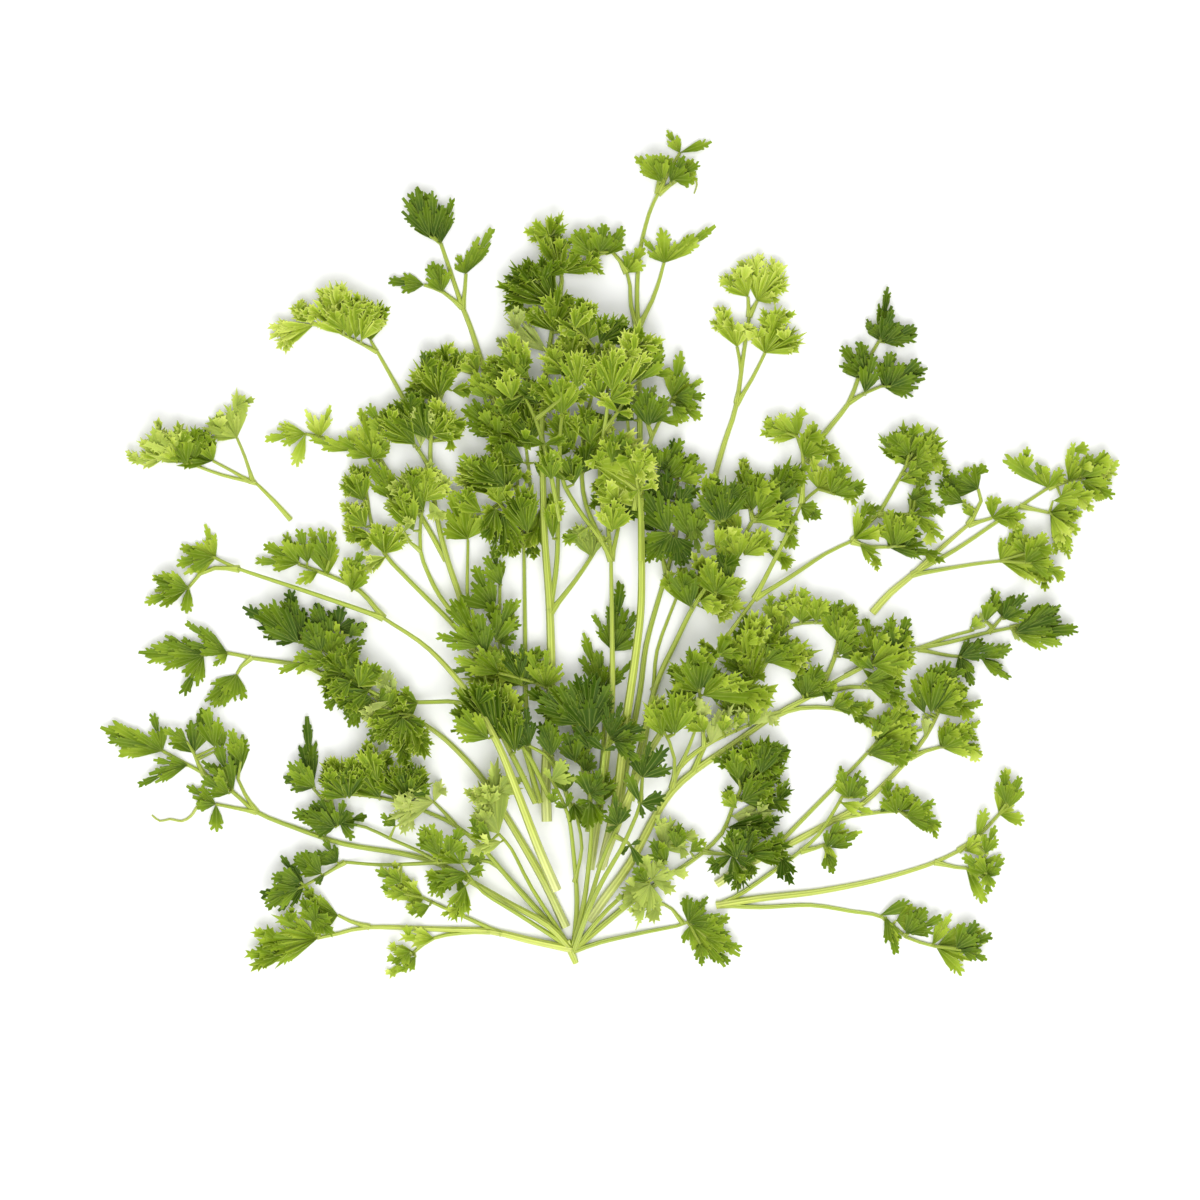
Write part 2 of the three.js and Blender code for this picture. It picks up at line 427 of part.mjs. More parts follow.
    leaves: [[[803, 697], [797, 668, 14], [818, 668, 18], [835, 680, 10]],
      [[837, 626], [828, 602, 16], [850, 606, 14], [860, 622, 10]],
      [[836, 650], [862, 634, 16], [866, 652, 12]], [[872, 630], [862, 618, 12], [880, 625, 12]],
      [[885, 656], [880, 636, 12], [892, 614, 14], [908, 628, 14], [915, 655, 18]],
      [[862, 668], [852, 650, 16], [876, 680, 12]],
      [[872, 687], [900, 675, 16], [906, 702, 14], [890, 700, 10]],
      [[832, 707], [850, 692, 18], [862, 702, 12]], [[860, 714], [870, 700, 14], [880, 728, 16]],
      [[782, 632], [764, 604, 14], [782, 596, 14], [794, 588, 8]],
      [[802, 622], [802, 598, 14], [820, 600, 14]], [[824, 622], [838, 612, 16]],
      [[768, 662], [790, 634, 14], [815, 652, 10], [800, 638, 10]],
      [[749, 685], [742, 630, 12], [754, 612, 12], [768, 630, 10], [760, 668, 12]],
      [[724, 716], [730, 690, 16], [755, 698, 10]]],
  },
  {
    name: 'inner_east', tone: 0.46, crisp: 0.55, radii: [2.8, 1.4],
    stem: [[671, 787], [679, 766], [704, 745], [725, 734], [748, 724]],
    arms: [[[673, 780], [674, 757], [669, 740], [661, 725]], [[680, 765], [690, 742], [697, 722]],
      [[704, 745], [701, 712], [699, 690], [705, 672], [718, 653]]],
    leaves: [[[661, 725], [645, 706, 18], [654, 692, 14], [672, 702, 16]],
      [[697, 722], [676, 712, 16], [688, 692, 16], [708, 700, 12]],
      [[710, 742], [715, 712, 16], [732, 706, 14]],
      [[748, 724], [738, 706, 14], [762, 704, 14], [776, 712, 8]],
      [[699, 690], [668, 668, 16], [672, 692, 14]], [[700, 684], [690, 652, 16], [706, 648, 12]],
      [[702, 694], [722, 672, 16], [740, 670, 14], [770, 690, 9]],
      [[718, 653], [700, 642, 10], [726, 634, 16], [742, 652, 16]]],
  },
  {
    name: 'inner_pale', tone: 0.42, crisp: 0.4, radii: [2.2, 1.3],
    stem: [[586, 790], [578, 740], [560, 695], [530, 680], [500, 672]],
    arms: [],
    leaves: [[[500, 672], [458, 656, 16], [478, 645, 12]], [[520, 677], [505, 646, 14], [522, 645, 12]],
      [[546, 686], [528, 652, 14], [546, 650, 12], [564, 662, 14]]],
  },
  {
    name: 'inner_dark_west', tone: 0.97, crisp: 0.3, radii: [2.4, 1.4],
    stem: [[574, 815], [560, 775], [545, 752], [530, 744]],
    arms: [[[560, 775], [552, 755], [550, 745]]],
    leaves: [[[530, 744], [502, 726, 12], [508, 704, 14], [528, 706, 12]],
      [[550, 745], [540, 722, 12], [556, 722, 12]]],
  },
  {
    name: 'inner_dark_mid', tone: 1.0, crisp: 0.4, radii: [2.6, 1.5],
    stem: [[588, 830], [590, 790], [584, 745], [572, 722]],
    arms: [[[586, 755], [594, 730], [596, 715]]],
    leaves: [[[572, 722], [532, 692, 14], [545, 715, 10], [560, 688, 14]],
      [[596, 715], [578, 682, 14], [596, 672, 12], [610, 690, 14]],
      [[580, 735], [568, 742, 12], [590, 732, 12]]],
  },
  {
    name: 'inner_dark_east', tone: 0.95, crisp: 0.25, radii: [2.4, 1.4],
    stem: [[600, 820], [602, 780], [604, 752], [610, 735]],
    arms: [],
    leaves: [[[610, 735], [606, 702, 12], [622, 700, 12], [645, 724, 16], [634, 752, 8]],
      [[604, 748], [588, 735, 12], [616, 745, 10]]],
  },
  {
    name: 'south_west_pale', tone: 0.22, crisp: 0.5, radii: [3.4, 1.5], joins: 'crown',
    stem: [[573, 949], [530, 939], [490, 930], [440, 928], [370, 926], [340, 932], [318, 937]],
    arms: [[[370, 926], [350, 920], [338, 914]], [[502, 932], [470, 918], [445, 907], [424, 897]],
      [[490, 931], [460, 932], [434, 937], [415, 950], [402, 962]]],
    leaves: [[[338, 914], [302, 889, 10], [306, 907, 14], [316, 926, 16]],
      [[318, 937], [278, 915, 15], [260, 942, 16], [256, 964, 7]],
      [[424, 897], [380, 867, 13], [386, 892, 8], [406, 906, 18], [404, 880, 8]],
      [[434, 937], [402, 934, 22]], [[414, 951], [389, 947, 15]], [[402, 962], [388, 976, 12]]],
  },
  {
    name: 'far_west_low', tone: 0.58, crisp: 0.1, radii: [3.0, 1.5], joins: 'crown',
    stem: [[573, 949], [548, 923], [512, 903], [478, 884], [440, 863], [400, 852], [345, 843],
      [296, 827], [257, 811], [232, 790], [205, 773], [185, 762], [163, 750]],
    arms: [[[257, 811], [245, 793], [238, 778]], [[257, 811], [236, 807], [216, 803]],
      [[205, 773], [198, 762], [194, 752]]],
    leaves: [[[163, 750], [107, 730, 16], [119, 753, 4], [154, 713, 17]],
      [[188, 764], [157, 760, 16], [137, 783, 8]], [[194, 752], [171, 737, 12], [203, 707, 18]],
      [[234, 788], [217, 745, 18], [204, 760, 12]], [[238, 778], [233, 738, 8], [245, 734, 8]],
      [[216, 803], [188, 785, 16], [198, 805, 14], [218, 829, 13]]],
  },
  {
    name: 'south_west_dark', tone: 0.8, crisp: 0.1, radii: [2.5, 1.4], joins: 'crown',
    stem: [[573, 949], [545, 917], [515, 884], [490, 860], [455, 860], [418, 862], [380, 863],
      [345, 861]],
    arms: [[[440, 861], [418, 849], [392, 838], [366, 826], [340, 821]],
      [[345, 861], [325, 873], [305, 884]], [[340, 821], [325, 801], [313, 787]]],
    leaves: [[[340, 821], [297, 812, 20], [318, 834, 8], [354, 838, 11], [365, 815, 22]],
      [[334, 812], [325, 795, 18]], [[313, 787], [306, 720, 9], [284, 775, 24]],
      [[338, 861], [325, 838, 20], [304, 852, 14]],
      [[305, 884], [281, 853, 12], [265, 893, 18], [280, 908, 14]], [[325, 873], [317, 882, 14]]],
  },
  {
    name: 'south_west_curl', tone: 0.66, crisp: 1.0, radii: [2.5, 1.4], joins: 'crown',
    stem: [[573, 949], [530, 901], [505, 872], [480, 843], [455, 824], [430, 812], [400, 801],
      [370, 795], [345, 793]],
    arms: [[[400, 801], [388, 788], [380, 772]], [[455, 824], [445, 812], [434, 801]]],
    leaves: [[[345, 793], [334, 788, 16], [322, 766, 20], [345, 760, 16]],
      [[370, 795], [350, 775, 14], [365, 754, 16]], [[380, 772], [366, 746, 16], [390, 752, 14]],
      [[400, 800], [398, 768, 20], [422, 770, 20]],
      [[434, 801], [442, 780, 12], [412, 790, 14], [388, 818, 14]]],
  },
  {
    name: 'south_west_mid', tone: 0.45, crisp: 0.6, radii: [2.2, 1.3], joins: 'crown',
    stem: [[573, 949], [520, 913], [484, 890], [468, 872]],
    arms: [],
    leaves: [[[462, 862], [424, 838, 12], [440, 850, 14], [460, 838, 12]],
      [[468, 872], [430, 878, 18], [484, 866, 18]], [[466, 884], [455, 920, 24]]],
  },
  {
    name: 'south_west_frill', tone: 0.33, crisp: 0.9, radii: [2.1, 1.3], joins: 'crown',
    stem: [[573, 949], [532, 886], [512, 848], [499, 832]],
    arms: [],
    leaves: [[[499, 832], [474, 806, 18], [480, 780, 12], [494, 766, 9]], [[502, 840], [476, 845, 18]]],
  },
  {
    name: 'south_east_curl', tone: 0.6, crisp: 0.4, radii: [2.2, 1.4], joins: 'crown',
    stem: [[573, 949], [600, 941], [645, 931], [676, 925], [688, 921]],
    arms: [[[683, 922], [672, 908], [662, 902]]],
    leaves: [[[688, 921], [688, 894, 12], [708, 895, 14], [728, 918, 12]],
      [[690, 924], [732, 932, 10], [734, 950, 12], [724, 962, 8], [703, 958, 12], [684, 940, 12]]],
  },
  {
    name: 'south_east_dark', tone: 0.78, crisp: 0.7, radii: [2.8, 1.5], joins: 'crown',
    stem: [[573, 949], [610, 918], [640, 894], [678, 869], [702, 852], [722, 832], [732, 808],
      [741, 788]],
    arms: [[[704, 851], [725, 853], [745, 852]]],
    leaves: [[[741, 788], [728, 750, 10], [748, 745, 12], [768, 738, 14], [786, 762, 12]],
      [[738, 798], [722, 788, 12], [775, 780, 16], [790, 800, 14]],
      [[732, 815], [750, 818, 16], [770, 810, 14]], [[728, 826], [758, 838, 16], [780, 822, 14]],
      [[745, 852], [752, 835, 12], [790, 842, 16], [794, 858, 8]],
      [[732, 853], [708, 868, 14], [735, 882, 12], [758, 868, 12], [745, 886, 6]]],
  },
  {
    name: 'south_east_frill', tone: 0.36, crisp: 0.6, radii: [2.4, 1.4], joins: 'crown',
    stem: [[573, 949], [598, 918], [618, 898], [640, 884], [652, 878]],
    arms: [[[640, 884], [658, 860], [668, 842]]],
    leaves: [[[652, 878], [640, 852, 14], [660, 852, 14], [680, 868, 14], [674, 890, 12]],
      [[650, 882], [622, 888, 10], [620, 906, 12], [638, 924, 12], [660, 916, 12]],
      [[664, 848], [658, 812, 10], [672, 816, 10], [694, 828, 14], [690, 846, 12]]],
  },
  {
    name: 'crown_left', tone: 0.55, crisp: 0.3, radii: [2.4, 1.4], joins: 'crown',
    stem: [[573, 949], [577, 900], [573, 845], [568, 812], [556, 785], [550, 774]],
    arms: [[[577, 880], [582, 845], [578, 820], [574, 802]]],
    leaves: [[[552, 778], [546, 766, 12], [566, 758, 14], [580, 776, 14]],
      [[566, 806], [556, 800, 14], [572, 790, 10]],
      [[574, 802], [590, 822, 14], [570, 820, 12], [605, 812, 10]]],
  },
  {
    name: 'crown_mid', tone: 0.74, crisp: 0.3, radii: [2.6, 1.5], joins: 'crown',
    stem: [[573, 949], [584, 900], [590, 850], [592, 810], [590, 792]],
    arms: [],
    leaves: [[[590, 792], [580, 770, 14], [600, 765, 16], [616, 782, 14], [604, 800, 12]],
      [[590, 798], [576, 800, 12], [588, 824, 14], [600, 820, 12]]],
  },
  {
    name: 'crown_right', tone: 0.9, crisp: 0.3, radii: [2.6, 1.5], joins: 'crown',
    stem: [[573, 949], [590, 898], [601, 860], [612, 834], [618, 822]],
    arms: [[[614, 832], [628, 840], [632, 846]]],
    leaves: [[[618, 822], [604, 812, 12], [614, 790, 14], [628, 806, 14], [605, 828, 10]],
      [[630, 842], [618, 850, 12], [640, 838, 12], [640, 862, 10]]],
  },
  {
    name: 'crown_tall', tone: 0.88, crisp: 0.15, radii: [2.6, 1.6], joins: 'crown',
    stem: [[573, 949], [589, 905], [605, 872], [621, 845], [636, 812], [640, 800]],
    arms: [[[640, 800], [642, 775]]],
    leaves: [[[642, 775], [630, 752, 9], [648, 742, 12], [666, 744, 9], [670, 766, 10]],
      [[640, 800], [628, 772, 9], [664, 792, 14], [656, 806, 10], [642, 814, 10]]],
  },
];

const wasm = await Module();
wasm.setup();

function toPlan([x, y]) {
  return [(x - sheetMiddle[0]) * unit, (sheetMiddle[1] - y) * unit];
}

function distance(a, b) {
  return Math.hypot(a[0] - b[0], a[1] - b[1]);
}

function mix(a, b, u) {
  return a + (b - a) * u;
}

// Seeded noise between 0 and 1 from two whole numbers: the fraction of a large multiple of a sine.
function noise(a, b) {
  const s = Math.sin(a * 127.1 + b * 311.7 + 17.3) * 43758.5453;
  return s - Math.floor(s);
}

// Nearest point to p on the segments of several paths: its path, segment and share along it.
function nearestOn(paths, p) {
  let best = { gap: Infinity };
  paths.forEach((path, index) => {
    for (let k = 0; k + 1 < path.length; k++) {
      const a = path[k];
      const b = path[k + 1];
      const length = distance(a, b);
      const along = ((p[0] - a[0]) * (b[0] - a[0]) + (p[1] - a[1]) * (b[1] - a[1])) / length ** 2;
      const u = Math.min(1, Math.max(0, along));
      const point = [mix(a[0], b[0], u), mix(a[1], b[1], u)];
      const gap = distance(point, p);
      if (gap < best.gap) {
        best = { gap, index, k, u, point };
      }
    }
  });
  return best;
}

// Points that a path needs: its ends and those where it bends.
function bendsOnly(points) {
  const kept = [points[0]];
  for (let k = 1; k + 1 < points.length; k++) {
    if (nearestOn([[kept[kept.length - 1], points[k + 1]]], points[k]).gap > straightness) {
      kept.push(points[k]);
    }
  }
  kept.push(points[points.length - 1]);
  return kept;
}

const pile = new Float32Array(mapSide * mapSide); // top of everything laid so far
const crownPile = new Float32Array(mapSide * mapSide); // and of the stems that grow from the crown

// Whether a cell is near enough the crown for its stems to touch there.
function inCrown(index) {
  const x = (index % mapSide + 0.5) * cell - halfMap;
  const y = (Math.floor(index / mapSide) + 0.5) * cell - halfMap;
  return distance([x, y], toPlan(crownAt)) < crownRadius;
}

// Visit the cells of a rectangle: index and centre.
function cellsNear(low, high, visit) {
  const first = [0, 1].map((i) => Math.floor((low[i] + halfMap) / cell));
  const last = [0, 1].map((i) => Math.ceil((high[i] + halfMap) / cell));
  for (let j = first[1]; j <= last[1]; j++) {
    for (let i = first[0]; i <= last[0]; i++) {
      visit(j * mapSide + i, [(i + 0.5) * cell - halfMap, (j + 0.5) * cell - halfMap]);
    }
  }
}

// Visit the cells under a round bar: index and share along the bar.
function cellsUnderBar(a, b, radius, visit) {
  const reach = radius + cell * barSlack;
  const low = [Math.min(a[0], b[0]) - reach, Math.min(a[1], b[1]) - reach];
  const high = [Math.max(a[0], b[0]) + reach, Math.max(a[1], b[1]) + reach];
  cellsNear(low, high, (index, centre) => {
    const near = nearestOn([[a, b]], centre);
    if (near.gap <= reach) {
      visit(index, near.u, centre);
    }
  });
}

// Visit the cells under a triangle: index, weights of its three corners, centre of the cell.
function cellsUnderTriangle(a, b, c, visit) {
  const area = (b[0] - a[0]) * (c[1] - a[1]) - (c[0] - a[0]) * (b[1] - a[1]);
  const edges = [[b, c], [c, a], [a, b]];
  const slack = edges.map(([p, q]) => distance(p, q) * cell * triangleSlack / Math.abs(area));
  const low = [0, 1].map((i) => Math.min(a[i], b[i], c[i]) - cell);
  const high = [0, 1].map((i) => Math.max(a[i], b[i], c[i]) + cell);
  cellsNear(low, high, (index, centre) => {
    const weights = edges.map(([p, q]) => (
      (p[0] - centre[0]) * (q[1] - centre[1]) - (q[0] - centre[0]) * (p[1] - centre[1])
    ) / area);
    if (weights.every((w, i) => w >= -slack[i])) {
      const inside = weights.map((w) => Math.max(0, w));
      const sum = inside[0] + inside[1] + inside[2];
      visit(index, inside.map((w) => w / sum), centre);
    }
  });
}

// Middle direction of a blade's lobes.
function bladeHeading(root, lobes) {
  const sum = [0, 0];
  for (const [x, y, half] of lobes) {
    const reach = Math.hypot(x - root[0], y - root[1]);
    sum[0] += (x - root[0]) / reach * half;
    sum[1] += (root[1] - y) / reach * half;
  }
  return Math.atan2(sum[1], sum[0]);
}

// Rim points of a blade round its root: angle from the heading, reach and wave height, in units.
function bladeRim(root, lobes, heading, crisp, seed) {
  const sides = lobes.map(([x, y, half]) => ({
    angle: Math.atan2(root[1] - y, x - root[0]),
    reach: Math.hypot(x - root[0], y - root[1]),
    half: half * Math.PI / 180,
  }));
  for (const lobe of sides) {
    const turn = lobe.angle - heading;
    lobe.angle = Math.atan2(Math.sin(turn), Math.cos(turn));
  }
  sides.sort((p, q) => p.angle - q.angle);
  const rim = [];
  sides.forEach((lobe, index) => {
    const { angle, reach, half } = lobe;
    const width = 2 * reach * Math.sin(half);
    const wave = crisp * ruffle * reach;
    const flip = noise(seed, index) < 0.5 ? 1 : -1;
    if (index > 0) {
      const before = sides[index - 1];
      const start = before.angle + before.half;
      const end = angle - half;
      const share = end - start > openAngle ? openValleyReach : valleyReach;
      rim.push({ angle: (start + end) / 2, reach: Math.min(reach, before.reach) * share, height: 0 });
    }
    const narrow = sides.length === 1 ? loneTooth : oneTooth;
    const teeth = width > wideLobe ? threeTeeth : width > midLobe ? twoTeeth : narrow;
    for (const [turn, share, height] of teeth(flip)) {
      rim.push({ angle: angle + turn * half, reach: reach * share, height: height * wave });
    }
  });
  return rim;
}

// Plan, radii and links of one leafy stem: paths of nodes with heights still to be found.
function planSprig(sprig, seed) {
  const nodes = [];
  const links = [];
  const ties = [];
  const paths = [];
  const [thick, thin] = sprig.radii.map((r) => r * unit);

  function addPath(points, firstRadius, lastRadius) {
    const plan = bendsOnly(points.map(toPlan));
    const total = plan.slice(1).reduce((sum, p, k) => sum + distance(p, plan[k]), 0);
    let run = 0;
    const ids = plan.map((p, k) => {
      run += k > 0 ? distance(p, plan[k - 1]) : 0;
      const radius = mix(firstRadius, lastRadius, run / total);
      nodes.push({ p, radius, z: radius });
      return nodes.length - 1;
    });
    for (let k = 0; k + 1 < ids.length; k++) {
      links.push({ a: ids[k], b: ids[k + 1], slope: stemSlope });
    }
    paths.push({ ids, plan });
  }

  function tieTo(id, near) {
    const host = paths[near.index].ids;
    ties.push({ id, a: host[near.k], b: host[near.k + 1], u: near.u });
  }

  addPath(sprig.stem, thick, thin);
  if (sprig.joins === 'crown') {
    nodes[0].p = nodes[0].p.map((v, axis) => v + (noise(seed, axis) - 0.5) * crownLoose);
    nodes[0].z = crownHeight + (noise(seed, 2) - 0.5) * crownLoose;
    nodes[0].fixed = true;
  }
  for (const arm of sprig.arms) {
    const start = nearestOn(paths.map((path) => path.plan), toPlan(arm[0]));
    addPath(arm, mix(thick, thin, armStart), thin * armTip);
    const { ids, plan } = paths[paths.length - 1];
    plan[0] = start.point;
    nodes[ids[0]].p = start.point;
    tieTo(ids[0], start);
  }

  // The arm whose tip a blade grows from in line, if there is one that no blade has taken yet.
  function tipUnder(near, heading) {
    const path = paths[near.index];
    const last = path.plan.length - 1;
    const [before, end] = [path.plan[last - 1], path.plan[last]];
    const turn = heading - Math.atan2(end[1] - before[1], end[0] - before[0]);
    const inLine = Math.cos(turn) > inLineCosine && distance(before, end) > 2 * setback;
    if (near.index === 0 || path.taken || !inLine || distance(near.point, end) > tipReach) {
      return null;
    }
    path.taken = true;
    return path.ids;
  }

  const blades = sprig.leaves.map(([root, ...lobes], index) => {
    const base = toPlan(root);
    const near = nearestOn(paths.map((path) => path.plan), base);
    const heading = near.gap > longNeck
      ? Math.atan2(base[1] - near.point[1], base[0] - near.point[0])
      : bladeHeading(root, lobes);
    const rim = bladeRim(root, lobes, heading, sprig.crisp, seed * 50 + index);
    const tip = tipUnder(near, heading);
    const ahead = tip ? 0 : Math.max(0, thin + hubAhead - near.gap);
    const hub = [base[0] + ahead * Math.cos(heading), base[1] + ahead * Math.sin(heading)];
    const back = [rootDepth * Math.cos(heading), rootDepth * Math.sin(heading)];
    const sunk = [near.point[0] - back[0], near.point[1] - back[1]];
    const host = paths[near.index].ids;
    const thickness = mix(nodes[host[near.k]].radius, nodes[host[near.k + 1]].radius, near.u);
    const perch = tip ? 0 : thickness + bladeThickness / 2 + perchGap;
    nodes.push({ p: sunk, radius: thin, z: thin });
    tieTo(nodes.length - 1, near);
    nodes.push({ p: hub, radius: bladeThickness / 2, z: bladeThickness / 2 });
    const turns = rim.map((point) => point.angle);
    const ids = { root: nodes.length - 2, hub: nodes.length - 1, rim: [], turns, perch, tip };
    for (const point of rim) {
      const angle = heading + point.angle;
      const reach = point.reach * unit;
      const p = [base[0] + reach * Math.cos(angle), base[1] + reach * Math.sin(angle)];
      const away = distance(p, hub);
      const natural = away * bladeLift + point.height * unit;
      nodes.push({ p, away, natural, radius: bladeThickness / 2, z: bladeThickness / 2 });
      ids.rim.push(nodes.length - 1);
    }
    return ids;
  });
  return { nodes, links, ties, paths, blades };
}

// Heights that the pile asks of the nodes: shares of a few nodes and the least height there.
function findFloors({ nodes, paths, blades }, heightAt) {
  const floors = [];
  const note = (index, ids, weights, air) => {
    const top = heightAt(index);
    const pinned = ids.some((id, k) => nodes[id].fixed && weights[k] > pinnedShare);
    if (top > 0 && !pinned) {
      const half = ids.reduce((sum, id, k) => sum + nodes[id].radius * weights[k], 0);
      const square = weights.reduce((sum, w) => sum + w * w, 0);
      floors.push({ ids, weights, square, least: top + air + half });
    }
  };
  for (const { ids } of paths) {
    for (let k = 0; k + 1 < ids.length; k++) {
      const pair = [ids[k], ids[k + 1]];
      const [a, b] = pair.map((id) => nodes[id]);
      cellsUnderBar(a.p, b.p, Math.max(a.radius, b.radius), (index, u) => {
        note(index, pair, [1 - u, u], clearance);
      });
    }
  }
  for (const { hub, root, rim } of blades) {
    cellsUnderBar(nodes[root].p, nodes[hub].p, neckWidth / 2, (index) => {
      note(index, [hub], [1], bladeClearance);
    });
    for (let k = 0; k + 1 < rim.length; k++) {
      const trio = [hub, rim[k], rim[k + 1]];
      const [a, b, c] = trio.map((id) => nodes[id].p);
      cellsUnderTriangle(a, b, c, (index, weights) => note(index, trio, weights, bladeClearance));
    }
  }
  return floors;
}

// Let the nodes sag and raise them by turns, then only raise them, until every floor, link and
// tie holds.
function settle({ nodes, links, ties, blades }, floors) {
  const lowest = nodes.map(({ z }) => z);
  const raise = (id, height) => {
    nodes[id].z = nodes[id].fixed ? nodes[id].z : Math.max(nodes[id].z, height);
  };
  for (let pass = 0; pass < settlePasses; pass++) {
    const gentle = pass < gentlePasses;
    const step = gentle ? gentleStep : 1;
    if (gentle) {
      nodes.forEach((node, id) => {
        node.z = node.fixed ? node.z : Math.max(lowest[id], node.z * sag);
      });
    }
    for (const { ids, weights, square, least } of floors) {
      const lack = least - ids.reduce((sum, id, k) => sum + nodes[id].z * weights[k], 0);
      if (lack > 0) {
        ids.forEach((id, k) => raise(id, nodes[id].z + step * lack * weights[k] / square));
      }
    }
    for (const { a, b, slope } of links) {
      const drop = slope * Math.max(distance(nodes[a].p, nodes[b].p), shortLink);
      raise(a, nodes[b].z - drop);
      raise(b, nodes[a].z - drop);
    }
    for (const { hub, root, rim, perch } of blades) {
      raise(hub, nodes[root].z + perch);
      raise(root, nodes[hub].z - 2 * perch);
      for (const id of rim) {
        const { natural, away } = nodes[id];
        raise(id, nodes[hub].z + natural);
        raise(hub, nodes[id].z - natural - bladeSlope * away);
      }
    }
    for (const { id, a, b, u } of ties) {
      const height = mix(nodes[a].z, nodes[b].z, u);
      const lack = nodes[id].z - height;
      if (lack > 0) {
        const square = u ** 2 + (1 - u) ** 2;
        raise(a, nodes[a].z + step * lack * (1 - u) / square);
        raise(b, nodes[b].z + step * lack * u / square);
      } else {
        nodes[id].z = height;
      }
    }
  }
}

// Lift the rim of a blade off its own sprig's earlier blades.
function liftOffSisters({ hub, rim }, nodes, own) {
  const { z, p: centre } = nodes[hub];
  for (let k = 0; k + 1 < rim.length; k++) {
    const [first, second] = [nodes[rim[k]], nodes[rim[k + 1]]];
    let lack = 0;
    cellsUnderTriangle(centre, first.p, second.p, (index, [w0, w1, w2], p) => {
      const outer = w1 + w2;
      const apart = distance(p, centre);
      if (own[index] > 0 && apart > rootZone && outer > outerShare) {
        const least = Math.min(own[index] + bladeThickness, z + sisterSlope * apart);
        lack = Math.max(lack, (least - w0 * z - w1 * first.z - w2 * second.z) / outer);
      }
    });
    first.z += lack;
    second.z += lack;
  }
}

// Note the top of a laid blade on a height map.
function markBlade({ hub, rim }, nodes, map) {
  const { z, p: centre } = nodes[hub];
  for (let k = 0; k + 1 < rim.length; k++) {
    const [first, second] = [nodes[rim[k]], nodes[rim[k + 1]]];
    const steep = Math.max(Math.abs(first.z - z) / first.away, Math.abs(second.z - z) / second.away,
      Math.abs(first.z - second.z) / distance(first.p, second.p));
    cellsUnderTriangle(centre, first.p, second.p, (index, [w0, w1, w2]) => {
      const top = w0 * z + w1 * first.z + w2 * second.z + bladeThickness / 2;
      map[index] = Math.max(map[index], top + Math.min(steep, 1) * cell / 2);
    });
  }
}

// Note the top of a laid bar on a height map.
function markBar(a, b, radius, map) {
  cellsUnderBar(a.p, b.p, radius, (index, u) => {
    map[index] = Math.max(map[index], mix(a.z, b.z, u) + radius + stemSlope * cell / 2);
  });
}

// Find every height of one leafy stem, then add it to the pile.
function laySprig(sprig, seed) {
  const plan = planSprig(sprig, seed);
  const { nodes, paths, blades } = plan;
  const member = sprig.joins === 'crown';
  const heightAt = (index) => (member ? pile[index] : Math.max(pile[index], crownPile[index]));
  settle(plan, findFloors(plan, heightAt));
  const own = new Float32Array(mapSide * mapSide);
  for (const { ids } of paths) {
    for (let k = 0; k + 1 < ids.length; k++) {
      const [a, b] = [nodes[ids[k]], nodes[ids[k + 1]]];
      markBar(a, b, Math.max(a.radius, b.radius), own);
    }
  }
  for (const blade of blades) {
    liftOffSisters(blade, nodes, own);
    markBlade(blade, nodes, own);
  }
  for (const { root, hub } of blades) {
    markBar(nodes[root], nodes[hub], neckWidth / 2, own);
  }
  for (let index = 0; index < own.length; index++) {
    const map = member && inCrown(index) ? crownPile : pile;
    map[index] = Math.max(map[index], own[index]);
  }
  return plan;
}

// Closed solid from corners and the triangles between them.
function solidFrom(positions, triangles) {
  const geometry = new THREE.BufferGeometry();
  geometry.setAttribute('position', new THREE.Float32BufferAttribute(positions.flat(), 3));
  geometry.setIndex(triangles.flat());
  const merged = mergeVertices(geometry, weldTolerance);
  return new wasm.Manifold(new wasm.Mesh({
    numProp: 3,
    vertProperties: new Float32Array(merged.attributes.position.array),
    triVerts: new Uint32Array(merged.index.array),
    tolerance: joinTolerance,
  }));
}

// A bar of flat-sided section along a path, with its flat side down. Corners are shares of the
// half width and half height.
const squareSection = [[-1, -1], [1, -1], [1, 1], [-1, 1]];
const ridgeSection = [[-1.1, -1], [1.1, -1], [0, 1]];
const hexSection = [[-0.58, -1], [0.58, -1], [1.1, 0], [0.58, 1], [-0.58, 1], [-1.1, 0]];

function barSolid(stops, section) {
  const sides = section.length;
  const positions = [];
  const triangles = [];
  stops.forEach(({ p, z, radius }, k) => {
    const before = stops[Math.max(0, k - 1)].p;
    const after = stops[Math.min(stops.length - 1, k + 1)].p;
    const length = distance(before, after);
    const across = [(after[1] - before[1]) / length, (before[0] - after[0]) / length];
    for (const [side, up] of section) {
      const [x, y] = [0, 1].map((i) => p[i] + across[i] * side * radius);
      positions.push([x, y, z + up * radius]);
    }
  });
  for (let k = 0; k + 1 < stops.length; k++) {
    for (let s = 0; s < sides; s++) {
      const [a, b] = [k * sides + s, k * sides + (s + 1) % sides];
      triangles.push([a, b + sides, b], [a, a + sides, b + sides]);
    }
  }
  const last = (stops.length - 1) * sides;
  for (let s = 1; s + 1 < sides; s++) {
    triangles.push([0, s, s + 1], [last, last + s + 1, last + s]);
  }
  return solidFrom(positions, triangles);
}

// Left and right corners of a flat strip along the stops, the last one set back from the end.
function stripSides(stops) {
  return [1, -1].map((hand) => stops.map(({ p, z, radius }, k) => {
    const before = stops[Math.max(0, k - 1)];
    const after = stops[Math.min(stops.length - 1, k + 1)];
    const length = distance(before.p, after.p);
    const across = [(before.p[1] - after.p[1]) / length, (after.p[0] - before.p[0]) / length];
    const back = k === stops.length - 1 ? setback / length : 0;
    const [x, y] = [0, 1].map((i) => mix(p[i], before.p[i], back) + hand * across[i] * radius);
    return [x, y, mix(z, before.z, back)];
  }));
}

